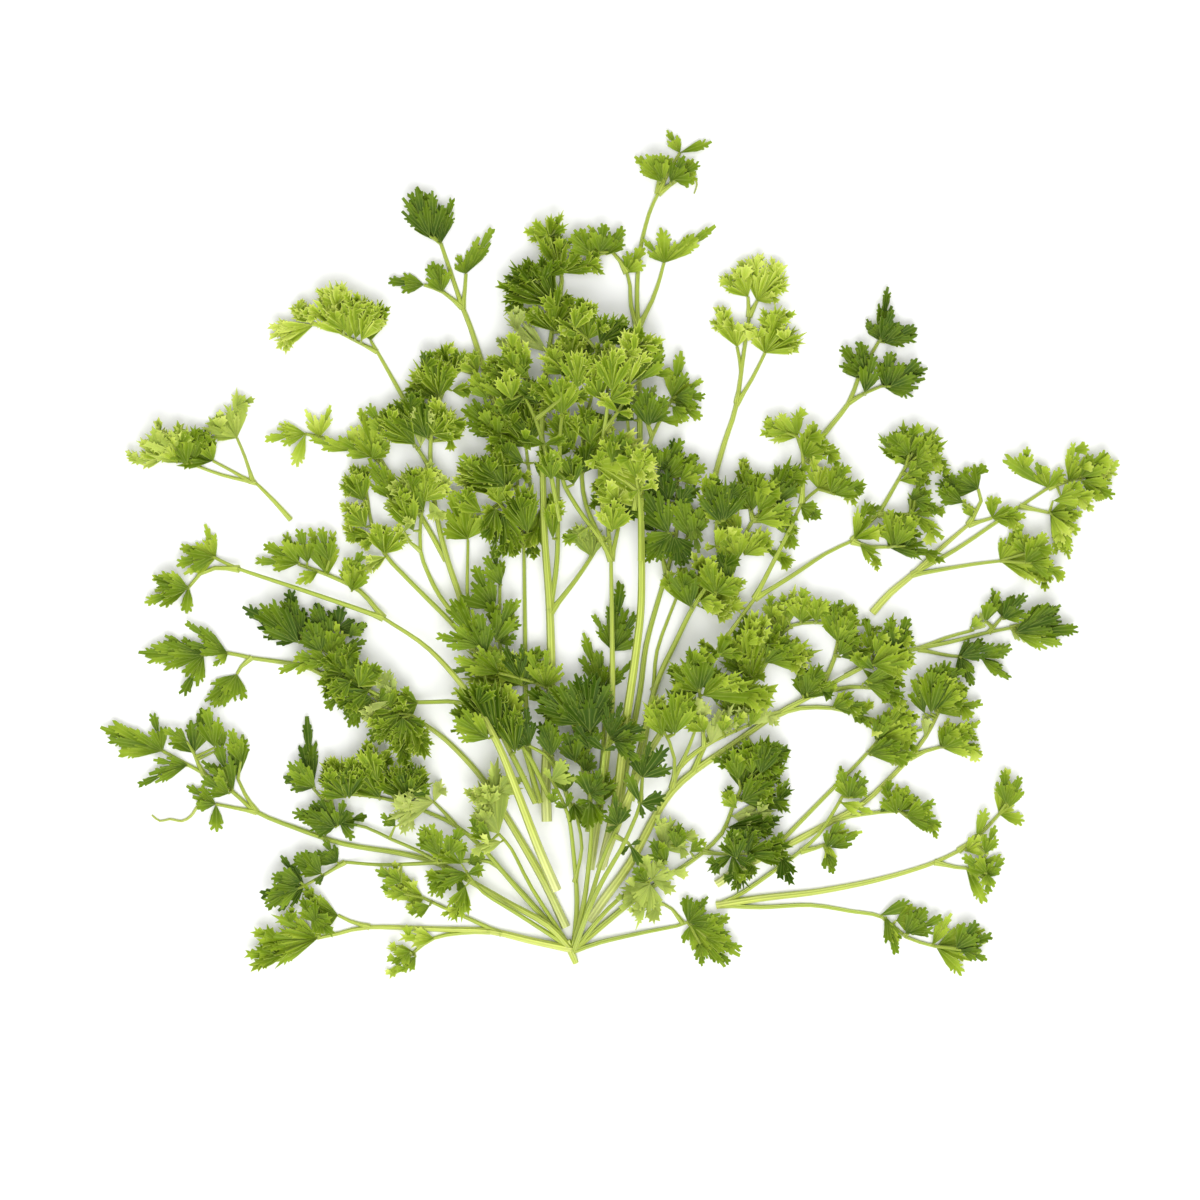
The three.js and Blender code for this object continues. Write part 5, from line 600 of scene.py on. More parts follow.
    (690, 850, 704, 838, 24, 0.6), (540, 700, 532, 686, 34, 0.7), (575, 760, 566, 730, 26, 0.75),
    (585, 770, 592, 752, 34, 0.7), (552, 800, 556, 786, 34, 0.6),
]

# Thin loose ends: the points along each, its first and last radius, and its tone.
wisps = [
    (((207, 799), (198, 805), (191, 815), (182, 820), (170, 818), (160, 820), (152, 814)), 1.5, 0.8, 0.3),
    (((567, 939), (571, 950), (576, 962)), 3.6, 2.6, 0.3),
    (((695, 177), (697, 184), (694, 193)), 1.0, 0.5, 0.4),
]

# Facts of the solids, so that each fine piece keeps the place of the plain one that it stands for.
solid = dict(
    bladeThickness=0.75e-3,
    straightness=0.6e-3,  # a stem point nearer than this to a straight run isn't in the solid
    armStart=0.75,  # an arm starts this far from its stem's thick end to its thin end
    armTip=0.9,  # an arm's thin end against its stem's
    longNeck=1.2e-3,  # a leaf farther than this from its stem points straight away from it
    hubAhead=0.9e-3,  # how far a blade's hub stands clear of its stem
    tipReach=0.6e-3, inLineCosine=0.5,  # near enough to an arm's end, and in line enough, to grow out of it
    setback=0.9e-3,  # an arm ends this far short of such a blade's hub
    perchGap=0.1e-3,  # between a stem and a blade that lies on it
    bladeLift=0.08,  # a blade's usual climb from its hub
    thickStem=0.95e-3,  # stems thicker than this are square, others have one ridge
    crownHeight=1.7e-3,
    crownLoose=0.9e-3,  # how far apart the stems start in the crown
    wideGap=0.45,  # an angle between lobes, past which the notch is cut deep
    deepNotch=0.3,  # a notch's reach against the shorter lobe's
    notch=0.55,
    wideLobe=27, midLobe=16.5,  # in sheet units
    ripple=0.11,  # a blade's waves against its reach
    snap=0.15e-3,  # how near a corner of the solid lies to its place in the plan
    agree=0.06e-3,  # heights nearer than this are the same
)
# Points along a lobe's rim: turn and reach as shares of the lobe's, then a steady ripple and one
# that turns with the lobe's own sign.
lobeMarks = dict(
    wide=((-0.86, 0.9, 1, 0), (-0.42, 0.8, 0, -1), (0, 1, 0, 1), (0.42, 0.8, 0.8, 0), (0.86, 0.88, -0.6, 0)),
    mid=((-0.7, 0.86, 0, 1), (0, 1, 0, -0.6), (0.7, 0.86, 0, 1)),
    lone=((-1, 0.7, 0, 0), (0, 1, 0, 1), (1, 0.7, 0, 0)),
    slim=((0, 1, 0, 1),),
)
# Corners of a section, as shares of the radius: to the side and up.
squareSection = ((-1, -1), (1, -1), (1, 1), (-1, 1))
ridgeSection = ((-1.1, -1), (1.1, -1), (0, 1))


def toPlan(point):  # a place on the sheet in metres: its offset from the middle, with y turned up
    return (np.array(point[:2], float) - sheetMiddle) * (sheetUnit, -sheetUnit)


def mix(a, b, u):  # from a at u = 0 in a straight line to b at u = 1
    return a + (b - a) * u


def bounded(value):  # the value, kept between 0 and 1
    return min(1, max(0, value))


def ray(angle):  # unit vector in plan
    return np.array([math.cos(angle), math.sin(angle)])


def wobble(a, b):  # seeded noise between 0 and 1: the fraction left of a large multiple of a sine
    noise = math.sin(a * 127.1 + b * 311.7 + 17.3) * 43758.5453
    return noise - math.floor(noise)


def runOf(points):  # distance along a path at each of its points
    return np.concatenate([[0], np.cumsum(np.linalg.norm(np.diff(points, axis=0), axis=1))])


def nearestOn(paths, point):  # nearest place on several paths: path, segment, share along it, gap
    best = dict(gap=1e9)
    for index, path in enumerate(paths):
        for k in range(len(path) - 1):
            a, b = path[k], path[k + 1]
            u = bounded(np.dot(point - a, b - a) / np.dot(b - a, b - a))
            place = a + (b - a) * u
            gap = math.dist(place, point)
            if gap < best["gap"]:
                best = dict(gap=gap, index=index, k=k, u=u, place=place)
    return best


def valueAt(values, near):  # a path's values, read at a place found by nearestOn
    return mix(values[near["k"]], values[near["k"] + 1], near["u"])


def bendsOnly(points):  # the ends and the points where the path leaves a straight line
    kept = [points[0]]
    for k in range(1, len(points) - 1):
        if nearestOn([[kept[-1], points[k + 1]]], points[k])["gap"] > solid["straightness"]:
            kept.append(points[k])
    return np.array(kept + [points[-1]])


def lobeSides(leaf):  # each lobe as (direction, reach in sheet units, half spread) round the root
    rootX, rootY = leaf[0][:2]
    return [(math.atan2(rootY - y, x - rootX), math.hypot(x - rootX, y - rootY), math.radians(half))
            for x, y, half in leaf[1:]]


def headingOf(leaf):  # the lobes' mean direction, each weighted by its spread
    across = sum(math.cos(a) * half for a, _, half in lobeSides(leaf))
    up = sum(math.sin(a) * half for a, _, half in lobeSides(leaf))
    return math.atan2(up, across)


def turned(angle, heading):  # an angle measured from the heading, between minus pi and pi
    return math.atan2(math.sin(angle - heading), math.cos(angle - heading))


def solidRim(leaf, heading, crisp, seed):  # rim of the plain blade: turn, reach and wave, sheet units
    lobes = sorted((turned(a, heading), reach, half) for a, reach, half in lobeSides(leaf))
    rim = []
    for index, (angle, reach, half) in enumerate(lobes):
        width = 2 * reach * math.sin(half)
        flip = 1 if wobble(seed, index) < 0.5 else -1
        if index > 0:
            before = lobes[index - 1]
            start, end = before[0] + before[2], angle - half
            share = solid["deepNotch" if end - start > solid["wideGap"] else "notch"]
            rim.append(((start + end) / 2, min(reach, before[1]) * share, 0))
        if width > solid["wideLobe"]:
            kind = "wide"
        elif width > solid["midLobe"]:
            kind = "mid"
        else:
            kind = "lone" if len(lobes) == 1 else "slim"
        for turn, share, steady, flipped in lobeMarks[kind]:
            lift = (steady + flip * flipped) * crisp * solid["ripple"] * reach
            rim.append((angle + turn * half, reach * share, lift))
    return rim


def vote(corners, marks, guess):  # height on which most corners of the solid agree, or the guess
    found = []
    for place, above in marks:
        near = corners[np.hypot(*(corners[:, :2] - place).T) < solid["snap"]]
        found.extend(near[:, 2] - above)
    if not found:
        return guess
    found = np.array(found)
    votes = (abs(found[:, None] - found) < solid["agree"]).sum(0)
    best = found[votes == votes.max()]
    return best[0] if guess is None else best[np.argmin(abs(best - guess))]


def sideways(points):  # unit vectors across a path, to its right, in plan
    ahead = np.gradient(points, axis=0)
    ahead[1:-1] = points[2:] - points[:-2]
    across = np.stack([ahead[:, 1], -ahead[:, 0]], axis=1)
    return across / np.linalg.norm(across, axis=1)[:, None]


def pathHeights(corners, points, radii, taken, isStem, startHeight):  # a path's heights, and those lost
    if taken:
        section, tall = squareSection, np.full(len(points), solid["bladeThickness"] / 2)
    else:
        thick = isStem and radii[0] > solid["thickStem"]
        section, tall = (squareSection if thick else ridgeSection), radii
    across = sideways(points)
    heights = []
    for k, point in enumerate(points):
        back = 0
        if taken and k == len(points) - 1:
            back = solid["setback"] / math.dist(points[k], points[k - 1])
        marks = [(point + (points[k - 1] - point) * back + across[k] * side * radii[k], up * tall[k])
                 for side, up in section]
        heights.append(vote(corners, marks, None))
    if startHeight is not None:
        heights[0] = startHeight
    known = [k for k, z in enumerate(heights) if z is not None]
    run = runOf(points)
    return np.interp(run, run[known], [heights[k] for k in known]), len(points) - len(known)


def readSprig(sprig, seed):  # place and height of everything in a sprig, read from its solid
    nodeName = sprig.get("node", sprig["name"])
    corners = cornersOf[nodeName]
    thick, thin = (r * sheetUnit for r in sprig["radii"])
    paths, plans = [], []
    for index, points in enumerate([sprig["stem"], *sprig["arms"]]):
        full = np.array([toPlan(p) for p in points])
        plan = bendsOnly(list(full))
        first, last = thick, thin
        if index > 0:
            first, last = mix(thick, thin, solid["armStart"]), thin * solid["armTip"]
        path = dict(full=full, taken=False, tie=None)
        if index == 0 and nodeName == "crown":
            loose = [(wobble(seed, axis) - 0.5) * solid["crownLoose"] for axis in (0, 1, 2)]
            plan[0] = full[0] = plan[0] + loose[:2]
            path["start"] = solid["crownHeight"] + loose[2]
        elif index > 0:
            path["tie"] = nearestOn(plans, plan[0])
            plan[0] = full[0] = path["tie"]["place"]
        run = runOf(plan)
        path.update(plan=plan, radii=mix(first, last, run / run[-1]))
        paths.append(path)
        plans.append(plan)
    blades = []
    for index, leaf in enumerate(sprig["leaves"]):
        base = toPlan(leaf[0])
        near = nearestOn(plans, base)
        heading = headingOf(leaf)
        if near["gap"] > solid["longNeck"]:
            heading = math.atan2(*(base - near["place"])[::-1])
        path = paths[near["index"]]
        before, end = path["plan"][-2:]
        inLine = math.cos(heading - math.atan2(*(end - before)[::-1])) > solid["inLineCosine"]
        tip = (near["index"] > 0 and not path["taken"] and inLine
               and math.dist(before, end) > 2 * solid["setback"]
               and math.dist(near["place"], end) <= solid["tipReach"])
        path["taken"] = path["taken"] or tip
        ahead = 0 if tip else max(0, thin + solid["hubAhead"] - near["gap"])
        hub = base + ahead * ray(heading)
        rim = solidRim(leaf, heading, sprig["crisp"], seed * 50 + index)
        blades.append(dict(leaf=leaf, base=base, near=near, heading=heading, tip=tip, hub=hub, rim=rim))
    missed = 0
    for index, path in enumerate(paths):
        start = path.get("start")
        if path["tie"]:
            start = valueAt(paths[path["tie"]["index"]]["heights"], path["tie"])
        path["heights"], lost = pathHeights(
            corners, path["plan"], path["radii"], path["taken"], index == 0, start)
        missed += lost
    halfBlade = solid["bladeThickness"] / 2
    for blade in blades:
        near = blade["near"]
        host = paths[near["index"]]
        blade["rootHeight"] = valueAt(host["heights"], near)
        perch = 0 if blade["tip"] else valueAt(host["radii"], near) + halfBlade + solid["perchGap"]
        hubMarks = [(blade["hub"], halfBlade), (blade["hub"], -halfBlade)]
        blade["hubHeight"] = vote(corners, hubMarks, blade["rootHeight"] + perch)
        slopes, aroundHub = [], []
        for turn, reach, wave in blade["rim"]:
            angle = blade["heading"] + turn
            place = blade["base"] + reach * sheetUnit * ray(angle)
            away = math.dist(place, blade["hub"])
            guess = blade["hubHeight"] + away * solid["bladeLift"] + wave * sheetUnit
            height = vote(corners, [(place, halfBlade), (place, -halfBlade)], guess)
            missed += height == guess
            slopes.append((height - blade["hubHeight"]) / away)
            aroundHub.append(math.atan2(*(place - blade["hub"])[::-1]) - blade["heading"])
        turns = [turned(turn, 0) for turn in aroundHub]
        order = np.argsort(turns)
        blade["fan"] = (np.array(turns)[order], np.array(slopes)[order])
    return dict(paths=paths, blades=blades, missed=missed)


class Spray:  # gathers closed shells, with their surface values, into one piece
    def __init__(self):
        self.places, self.quads, self.caps, self.materials = [], [], [], []
        self.values = {name: [] for name in surfaceValues}
        self.count = 0

    def add(self, places, quads, caps, material, **values):
        self.places.append(places)
        self.quads.append(quads + self.count)
        self.caps.extend(([index + self.count for index in cap], material) for cap in caps)
        self.materials.append(material)
        for name in surfaceValues:
            self.values[name].append(np.broadcast_to(values.get(name, 0.0), len(places)))
        self.count += len(places)


surfaceValues = ("tone", "under", "u", "v", "rim")


def gridQuads(rows, columns, closed=False):  # quads of a grid of points, row by row
    last = columns if closed else columns - 1
    i, j = np.meshgrid(np.arange(rows - 1), np.arange(last), indexing="ij")
    i, j = i.ravel(), j.ravel()
    after = (j + 1) % columns
    row, nextRow = i * columns, (i + 1) * columns
    return np.stack([row + j, nextRow + j, nextRow + after, row + after], 1)


def smoothPath(points, heights, heightPlan, step):  # Catmull-Rom curve through the points, in plan
    ends = [2 * points[0] - points[1], *points, 2 * points[-1] - points[-2]]
    pieces = []
    for k in range(1, len(ends) - 2):
        a, b, c, d = ends[k - 1: k + 3]
        count = max(1, round(math.dist(b, c) / step))
        u = (np.arange(count) / count)[:, None]
        pieces.append(0.5 * (2 * b + (c - a) * u + (2 * a - 5 * b + 4 * c - d) * u**2
                             + (3 * b - a - 3 * c + d) * u**3))
    plan = np.concatenate([*pieces, [points[-1]]])
    run, solidRun = runOf(plan), runOf(heightPlan)
    height = np.interp(run / run[-1] * solidRun[-1], solidRun, heights)
    return np.column_stack([plan, height])


stemLook = dict(
    sides=12, armSides=8, ridge=0.05,
    step=4.5e-3,  # between rings
    thin=0.6e-3,  # a stem thinner than this has the sides of an arm
    broad=1.3e-3, fade=0.6e-3,  # a stem thinner than broad is greener at its foot, wholly so by fade less
    slimStart=0.7, armStart=0.6, neckStart=0.8,  # how green each starts, from 0 as at the cut to 1
    greenRun=0.2,  # a stem turns from pale to green over this length
    fuller=1.1, flare=0.55, flareRun=1.6e-3, neckFlare=0.2,
    neckTaper=(0.8, 0.5), infillTaper=0.7,
    leastTone=0.25, toneShare=0.5,
    neckRings=4, leastNeck=0.3e-3,  # a neck shorter than this in plan is left out
)


# Ring points: centre + radius x ridge x (cos turn x sideways + sin turn x up), a flat cap at each end.
def addStem(spray, centres, radii, tone, start, flare):
    sides = stemLook["sides" if radii[0] > stemLook["thin"] else "armSides"]
    run = runOf(centres)
    across = np.column_stack([sideways(centres[:, :2]), np.zeros(len(centres))])
    ahead = np.gradient(centres, axis=0)
    up = np.cross(across, ahead)
    up /= np.linalg.norm(up, axis=1)[:, None]
    turn = np.arange(sides) / sides * 2 * math.pi
    ridge = 1 + stemLook["ridge"] * np.cos(turn * sides / 2)  # every other side stands out
    grown = radii * stemLook["fuller"] * (1 + flare * np.exp(-run / stemLook["flareRun"]))
    shape = grown[:, None] * ridge
    places = (centres[:, None] + (shape * np.cos(turn))[..., None] * across[:, None]
              + (shape * np.sin(turn))[..., None] * up[:, None])
    places[..., 2] = np.maximum(places[..., 2], 0)
    quads = gridQuads(len(centres), sides, closed=True)
    top = (len(centres) - 1) * sides
    caps = [range(sides), [top + k for k in reversed(range(sides))]]
    grow = start + run / stemLook["greenRun"]
    spray.add(places.reshape(-1, 3), quads, caps, 1, tone=tone, rim=np.repeat(grow, sides),
              u=np.tile(turn / (2 * math.pi), len(centres)), v=np.repeat(run, sides))


def stemTone(tone):  # a stem's tone: the least + a share of its leaves' tone
    return stemLook["leastTone"] + stemLook["toneShare"] * tone


def addNeck(spray, neck, radii, tone):  # the short stalk between a leaf and its stem, if there is one
    if math.dist(*neck[:, :2]) > stemLook["leastNeck"]:
        count = stemLook["neckRings"]
        addStem(spray, np.linspace(*neck, count), np.linspace(*radii, count), tone, stemLook["neckStart"],
                stemLook["neckFlare"])


leafLook = dict(
    thickness=0.28e-3,
    lowest=0.1e-3,
    steepest=0.75,  # no part of a blade climbs or falls faster than this
    stretch=1.1, widen=1.12,  # each lobe against its place on the sheet
    # Lobes part into fingers.
    fingerFlat=4.2e-3, fingerCrisp=3.5e-3,  # about how wide the fingers are on flat and crisp leaves
    fuller=0.6,  # how soon a lobe gains its next pair of fingers, between 0 and 1
    overlap=1.18,  # each finger's width against an even split of the lobe
    leaveFlat=0.42, leaveCrisp=0.22,  # the tip finger leaves the midrib this far along it
    shorterFlat=0.34, shorterCrisp=0.16,  # how much shorter the outermost fingers reach
    inset=0.6,  # how far the outermost fingers turn in from the lobe's sides
    aim=0.04, lengths=(0.93, 1.05), ownTone=0.1,  # how much a finger's turn, length and tone vary
    above=0.02,  # every other finger climbs a little more than its neighbours
    web=0.56, webSpread=0.7, webCrisp=0.5,  # the web that joins the fingers: its reach, spread and crispness
    # Each finger's outline, then its teeth.
    middle=0.64,  # a finger's own centre, as a share of its length from its base
    widest=0.5, narrowest=0.13, boxy=2.3,
    arc=math.radians(108),  # teeth stand on this much of the outline each side of the tip
    arcShare=0.9, leastTeeth=3,
    toothFlat=2.4e-3, toothCrisp=1.7e-3, toothDepth=2.8e-3,
    deepest=0.54,  # teeth are never cut deeper than this share of the outline's reach
    hollow=1.3,  # above 1 the notches are hollow
    fade=0.7,  # how much shallower the teeth are at the ends of the arc
    uneven=0.3, unevenTall=0.4,
    pointed=0.45,  # teeth are pointed on leaves crisper than this, round on the others
    samplesRound=3, samplesPointed=2, samplesBack=3,  # outline points to a tooth, and down to the base
    rows=(0.3, 0.7, 1.0),  # rings of points, as shares of the outline
    short=5.2e-3,  # a finger shorter than this leaves out the innermost ring
    # How each finger leaves the plane.
    rollFlat=0.22, rollCrisp=0.9, foldFlat=0.26, foldCrisp=0.42,
    waveFlat=0.02, waveCrisp=0.1, waves=(1.6, 3.0), wavePhase=(-1.5, 1.5),
    curl=0.22, curls=(-0.7, 1.0), curlFlat=0.35, curlCrisp=1.0,
    rimFlat=0.35, rimCrisp=1.0,  # how much paler the rim is painted than the rest: a painted highlight along the thin rim
    # Frills: small lobes that stand up from a crisp one.
    frillOnce=0.42, frillTwice=0.65,  # how crisp a leaf is that has one or two to a lobe
    frillAlong=(0.42, 0.7), frillAside=(0.3, 1.4), frillTone=(-0.2, 0.12), frillLength=(0.34, 0.5),
    frillHalf=(0.4, 0.6), frillRise=(0.2, 0.9),
)


def lookFor(name, crisp):  # a value between the one for flat leaves and the one for crisp leaves
    return mix(leafLook[name + "Flat"], leafLook[name + "Crisp"], crisp)


# Angles round a finger's centre, the outline's reach at each, the tail's length and the half width. The
# reach is a superellipse ahead of the centre and straight sides behind it, times (1 - notch) for the teeth.
def fingerOutline(length, half, crisp, rng):
    look = leafLook
    pointed = crisp > look["pointed"]
    samples = look["samplesPointed" if pointed else "samplesRound"]
    tail, ahead = length * look["middle"], length * (1 - look["middle"])
    side = length * min(look["widest"], max(look["narrowest"], look["middle"] * math.tan(half)))
    toothed = look["arc"] * (ahead + side) * look["arcShare"]
    count = max(look["leastTeeth"], round(toothed / lookFor("tooth", crisp)))
    arc = np.linspace(-look["arc"], look["arc"], count * samples + 1)
    back = np.linspace(look["arc"], math.pi, look["samplesBack"])[1:]
    angle = np.concatenate([-back[-2::-1], arc, back])
    cos, sin = np.cos(angle), abs(np.sin(angle))
    boxy = look["boxy"]
    front = ((abs(cos) / ahead) ** boxy + (sin / side) ** boxy) ** (-1 / boxy)
    wedge = side * tail / (side * abs(cos) + tail * sin)
    reach = np.where(cos > 0, front, wedge)
    place = (angle + look["arc"]) / (2 * look["arc"]) * count
    strength = (abs(angle) < look["arc"] + 1e-6) * (1 - look["fade"] * (abs(angle) / look["arc"]) ** 4)
    depth = min(look["deepest"], look["toothDepth"] / ahead)
    notchSize, toothSize = 1 + look["uneven"] * rng.uniform(-1, 1, (2, count + 1))
    notch = depth * abs(2 * (place % 1) - 1) ** look["hollow"]
    notch = notch * notchSize[np.clip(np.round(place), 0, count).astype(int)]
    tall = toothSize[np.clip(np.floor(place), 0, count).astype(int)] - 1
    tall = 1 + strength * look["unevenTall"] * tall
    return angle, reach * tall * (1 - notch * strength), tail, side


def heightOn(blade, plan):  # height of the plain blade over any place: its slopes, carried out from the hub
    away = plan - blade["hub"]
    turn = np.arctan2(away[..., 1], away[..., 0]) - blade["heading"]
    turn = np.arctan2(np.sin(turn), np.cos(turn))
    slope = np.clip(np.interp(turn, *blade["fan"]), -leafLook["steepest"], leafLook["steepest"])
    return blade["hubHeight"] + np.linalg.norm(away, axis=-1) * slope


# A closed shell: each point of the grid moved half the thickness along its normal, up and down, with a
# wall round the last ring and a cap inside the first.
def addShell(spray, grid, thickness, lowest, material, **values):
    rows, columns = grid.shape[:2]
    beside = np.roll(grid, -1, axis=1) - np.roll(grid, 1, axis=1)
    normal = np.cross(np.gradient(grid, axis=0), beside)
    normal /= np.maximum(np.linalg.norm(normal, axis=2), 1e-12)[..., None]
    lower, upper = grid - normal * thickness / 2, grid + normal * thickness / 2
    lower[..., 2] = np.maximum(lower[..., 2], lowest)
    upper[..., 2] = np.maximum(upper[..., 2], lowest + thickness * 0.5)
    size = rows * columns
    quads = gridQuads(rows, columns, closed=True)
    edge = np.arange(size - columns, size)
    after = np.roll(edge, -1)
    wall = np.stack([edge, edge + size, after + size, after], 1)
    caps = [list(range(columns)), [size + k for k in reversed(range(columns))]]
    places = np.concatenate([upper.reshape(-1, 3), lower.reshape(-1, 3)])
    doubled = {name: np.tile(np.broadcast_to(value, grid.shape[:2]).ravel(), 2)
               for name, value in values.items()}
    doubled["under"] = doubled["under"].copy()
    doubled["under"][size:] = 1 - doubled["under"][size:]
    spray.add(places, np.concatenate([quads, quads[:, ::-1] + size, wall]), caps, material, **doubled)


# Ring points: centre + share x reach x (cos turn ahead, sin turn aside), rolled about the midrib. Height:
# the blade's own + fold x |aside| + a sine of aside + curl x the square of the way along.
def addFinger(spray, blade, base, tip, half, crisp, tone, under, rise, roll, rng):
    look = leafLook
    length = math.dist(base, tip)
    turn, reach, tail, side = fingerOutline(length, half, crisp, rng)
    shares = np.array(look["rows"][0 if length > look["short"] else 1:])[:, None]
    x = tail + shares * reach * np.cos(turn)
    y = shares * reach * np.sin(turn)
    midrib = (tip - base) / length
    across = np.array([-midrib[1], midrib[0]])
    along = x / length
    swing = y / side * rng.uniform(*look["waves"]) + rng.uniform(*look["wavePhase"])
    wave = lookFor("wave", crisp) * length * np.sin(swing) * along**2
    fold = lookFor("fold", crisp) * (1 - 2 * round(under)) * abs(y)
    curl = look["curl"] * rng.uniform(*look["curls"]) * lookFor("curl", crisp) * length * along**2
    plan = base + x[..., None] * midrib + (y * math.cos(roll))[..., None] * across
    height = heightOn(blade, plan) + y * math.sin(roll) + fold + wave + curl + rise * x
    grid = np.concatenate([plan, height[..., None]], axis=2)
    vein = y / np.maximum(x, 1e-4) / (side / tail)  # 0 on the midrib, 1 along the sides
    # rim: each ring's share of the outline, which places the painted highlight along the rim
    addShell(spray, grid, look["thickness"], look["lowest"], 0, tone=tone, under=under,
             u=vein, v=along, rim=shares * lookFor("rim", crisp))


# An odd number of fingers, evenly turned from side to side: each leaves the midrib nearer its base the
# farther aside it points, and reaches length x (1 - shorter x aside squared).
def addLobe(spray, blade, start, angle, length, half, crisp, tone, under, rise, rng):
    look = leafLook
    count = 2 * int((2 * half * length / lookFor("finger", crisp) + look["fuller"]) / 2) + 1
    if count > 1:
        addFinger(spray, blade, start, start + look["web"] * length * ray(angle), half * look["webSpread"],
                  crisp * look["webCrisp"], tone, under, rise, 0, rng)
    for number in range(count):
        aside = 0 if count == 1 else number / (count - 1) * 2 - 1
        toward = angle + aside * half * (1 - look["inset"] / count) + rng.uniform(-look["aim"], look["aim"])
        reach = length * (1 - lookFor("shorter", crisp) * aside**2) * rng.uniform(*look["lengths"])
        tip = start + reach * ray(toward)
        leave = 0 if count == 1 else lookFor("leave", crisp) * (1 - abs(aside))
        base = start + leave * length * ray(angle)
        width = half * length / count * look["overlap"]
        spread = math.atan(width / (look["middle"] * math.dist(base, tip)))
        own = bounded(tone + rng.uniform(-look["ownTone"], look["ownTone"]))
        roll = rng.uniform(-1, 1) * lookFor("roll", crisp)
        climb = rise + look["above"] * (number % 2)
        addFinger(spray, blade, base, tip, spread, crisp, own, under, climb, roll, rng)


def addLeaf(spray, blade, crisp, tone, under, mostFrills, rng):  # every lobe of a leaf, with its frills
    look = leafLook
    frills = 0 if crisp < look["frillOnce"] else 1 if crisp < look["frillTwice"] else 2
    for angle, reach, half in lobeSides(blade["leaf"]):
        length = reach * sheetUnit * look["stretch"]
        addLobe(spray, blade, blade["base"], angle, length, half * look["widen"], crisp, tone, under, 0, rng)
        for number in range(min(frills, mostFrills)):
            start = blade["base"] + rng.uniform(*look["frillAlong"]) * length * ray(angle)
            toward = angle + (1 if number % 2 else -1) * rng.uniform(*look["frillAside"])
            own = bounded(tone + rng.uniform(*look["frillTone"]))
            size = length * rng.uniform(*look["frillLength"])
            spread, rise = rng.uniform(*look["frillHalf"]), rng.uniform(*look["frillRise"])
            addLobe(spray, blade, start, toward, size, spread, crisp, own, under, rise, rng)


def makePiece(name, spray, materials):  # one mesh of all the shells gathered in a spray
    places = np.concatenate(spray.places)
    faces = []
    slots = []
    for quads, material in zip(spray.quads, spray.materials):
        faces.extend(quads.tolist())
        slots.extend([material] * len(quads))
    for cap, material in spray.caps:
        faces.append(cap)
        slots.append(material)
    mesh = bpy.data.meshes.new(name)
    mesh.from_pydata(places.tolist(), [], faces)
    mesh.polygons.foreach_set("material_index", slots)
    mesh.polygons.foreach_set("use_smooth", np.ones(len(faces), bool))
    # rim: on leaves, where the painted highlight falls; on stems, how far they have turned green
    for label in ("tone", "under", "rim"):
        layer = mesh.attributes.new(label, "FLOAT", "POINT")
        layer.data.foreach_set("value", np.concatenate(spray.values[label]).astype(np.float32))
    corner = np.zeros(len(mesh.loops), np.int32)
    mesh.loops.foreach_get("vertex_index", corner)
    uv = np.column_stack([np.concatenate(spray.values["u"]), np.concatenate(spray.values["v"])])[corner]
    mesh.uv_layers.new(name="skin").data.foreach_set("uv", uv.astype(np.float32).ravel())
    mesh.update()
    mesh.set_sharp_from_angle(angle=math.radians(55))
    for material in materials:
        mesh.materials.append(material)
    piece = bpy.data.objects.new(name, mesh)
    bpy.context.scene.collection.objects.link(piece)
    return piece


def srgb(red, green, blue):  # a screen colour as linear light: ((v + 0.055) / 1.055) to the power 2.4
    shares = [v / 255 for v in (red, green, blue)]
    return tuple(v / 12.92 if v <= 0.04045 else ((v + 0.055) / 1.055) ** 2.4 for v in shares) + (1.0,)


mottleLook = dict(scales=(("Patch Scale", 90.0), ("Grain Scale", 1200.0)), detail=3.0)


def makeMottle():  # soft uneven patches and fine grain, from two sizes of noise
    group = bpy.data.node_groups.new("tissueMottle", "ShaderNodeTree")
    for label, value in mottleLook["scales"]:
        socket = group.interface.new_socket(label, in_out="INPUT", socket_type="NodeSocketFloat")
        socket.default_value = value
    for label in ("Patch", "Grain"):
        group.interface.new_socket(label, in_out="OUTPUT", socket_type="NodeSocketFloat")
    nodes, links = group.nodes, group.links
    inside, outside = nodes.new("NodeGroupInput"), nodes.new("NodeGroupOutput")
    where = nodes.new("ShaderNodeTexCoord")
    for label, source in (("Patch", "Patch Scale"), ("Grain", "Grain Scale")):
        noise = nodes.new("ShaderNodeTexNoise")
        noise.inputs["Detail"].default_value = mottleLook["detail"]
        links.new(where.outputs["Object"], noise.inputs["Vector"])
        links.new(inside.outputs[source], noise.inputs["Scale"])
        links.new(noise.outputs["Fac"], outside.inputs[label])
    return group


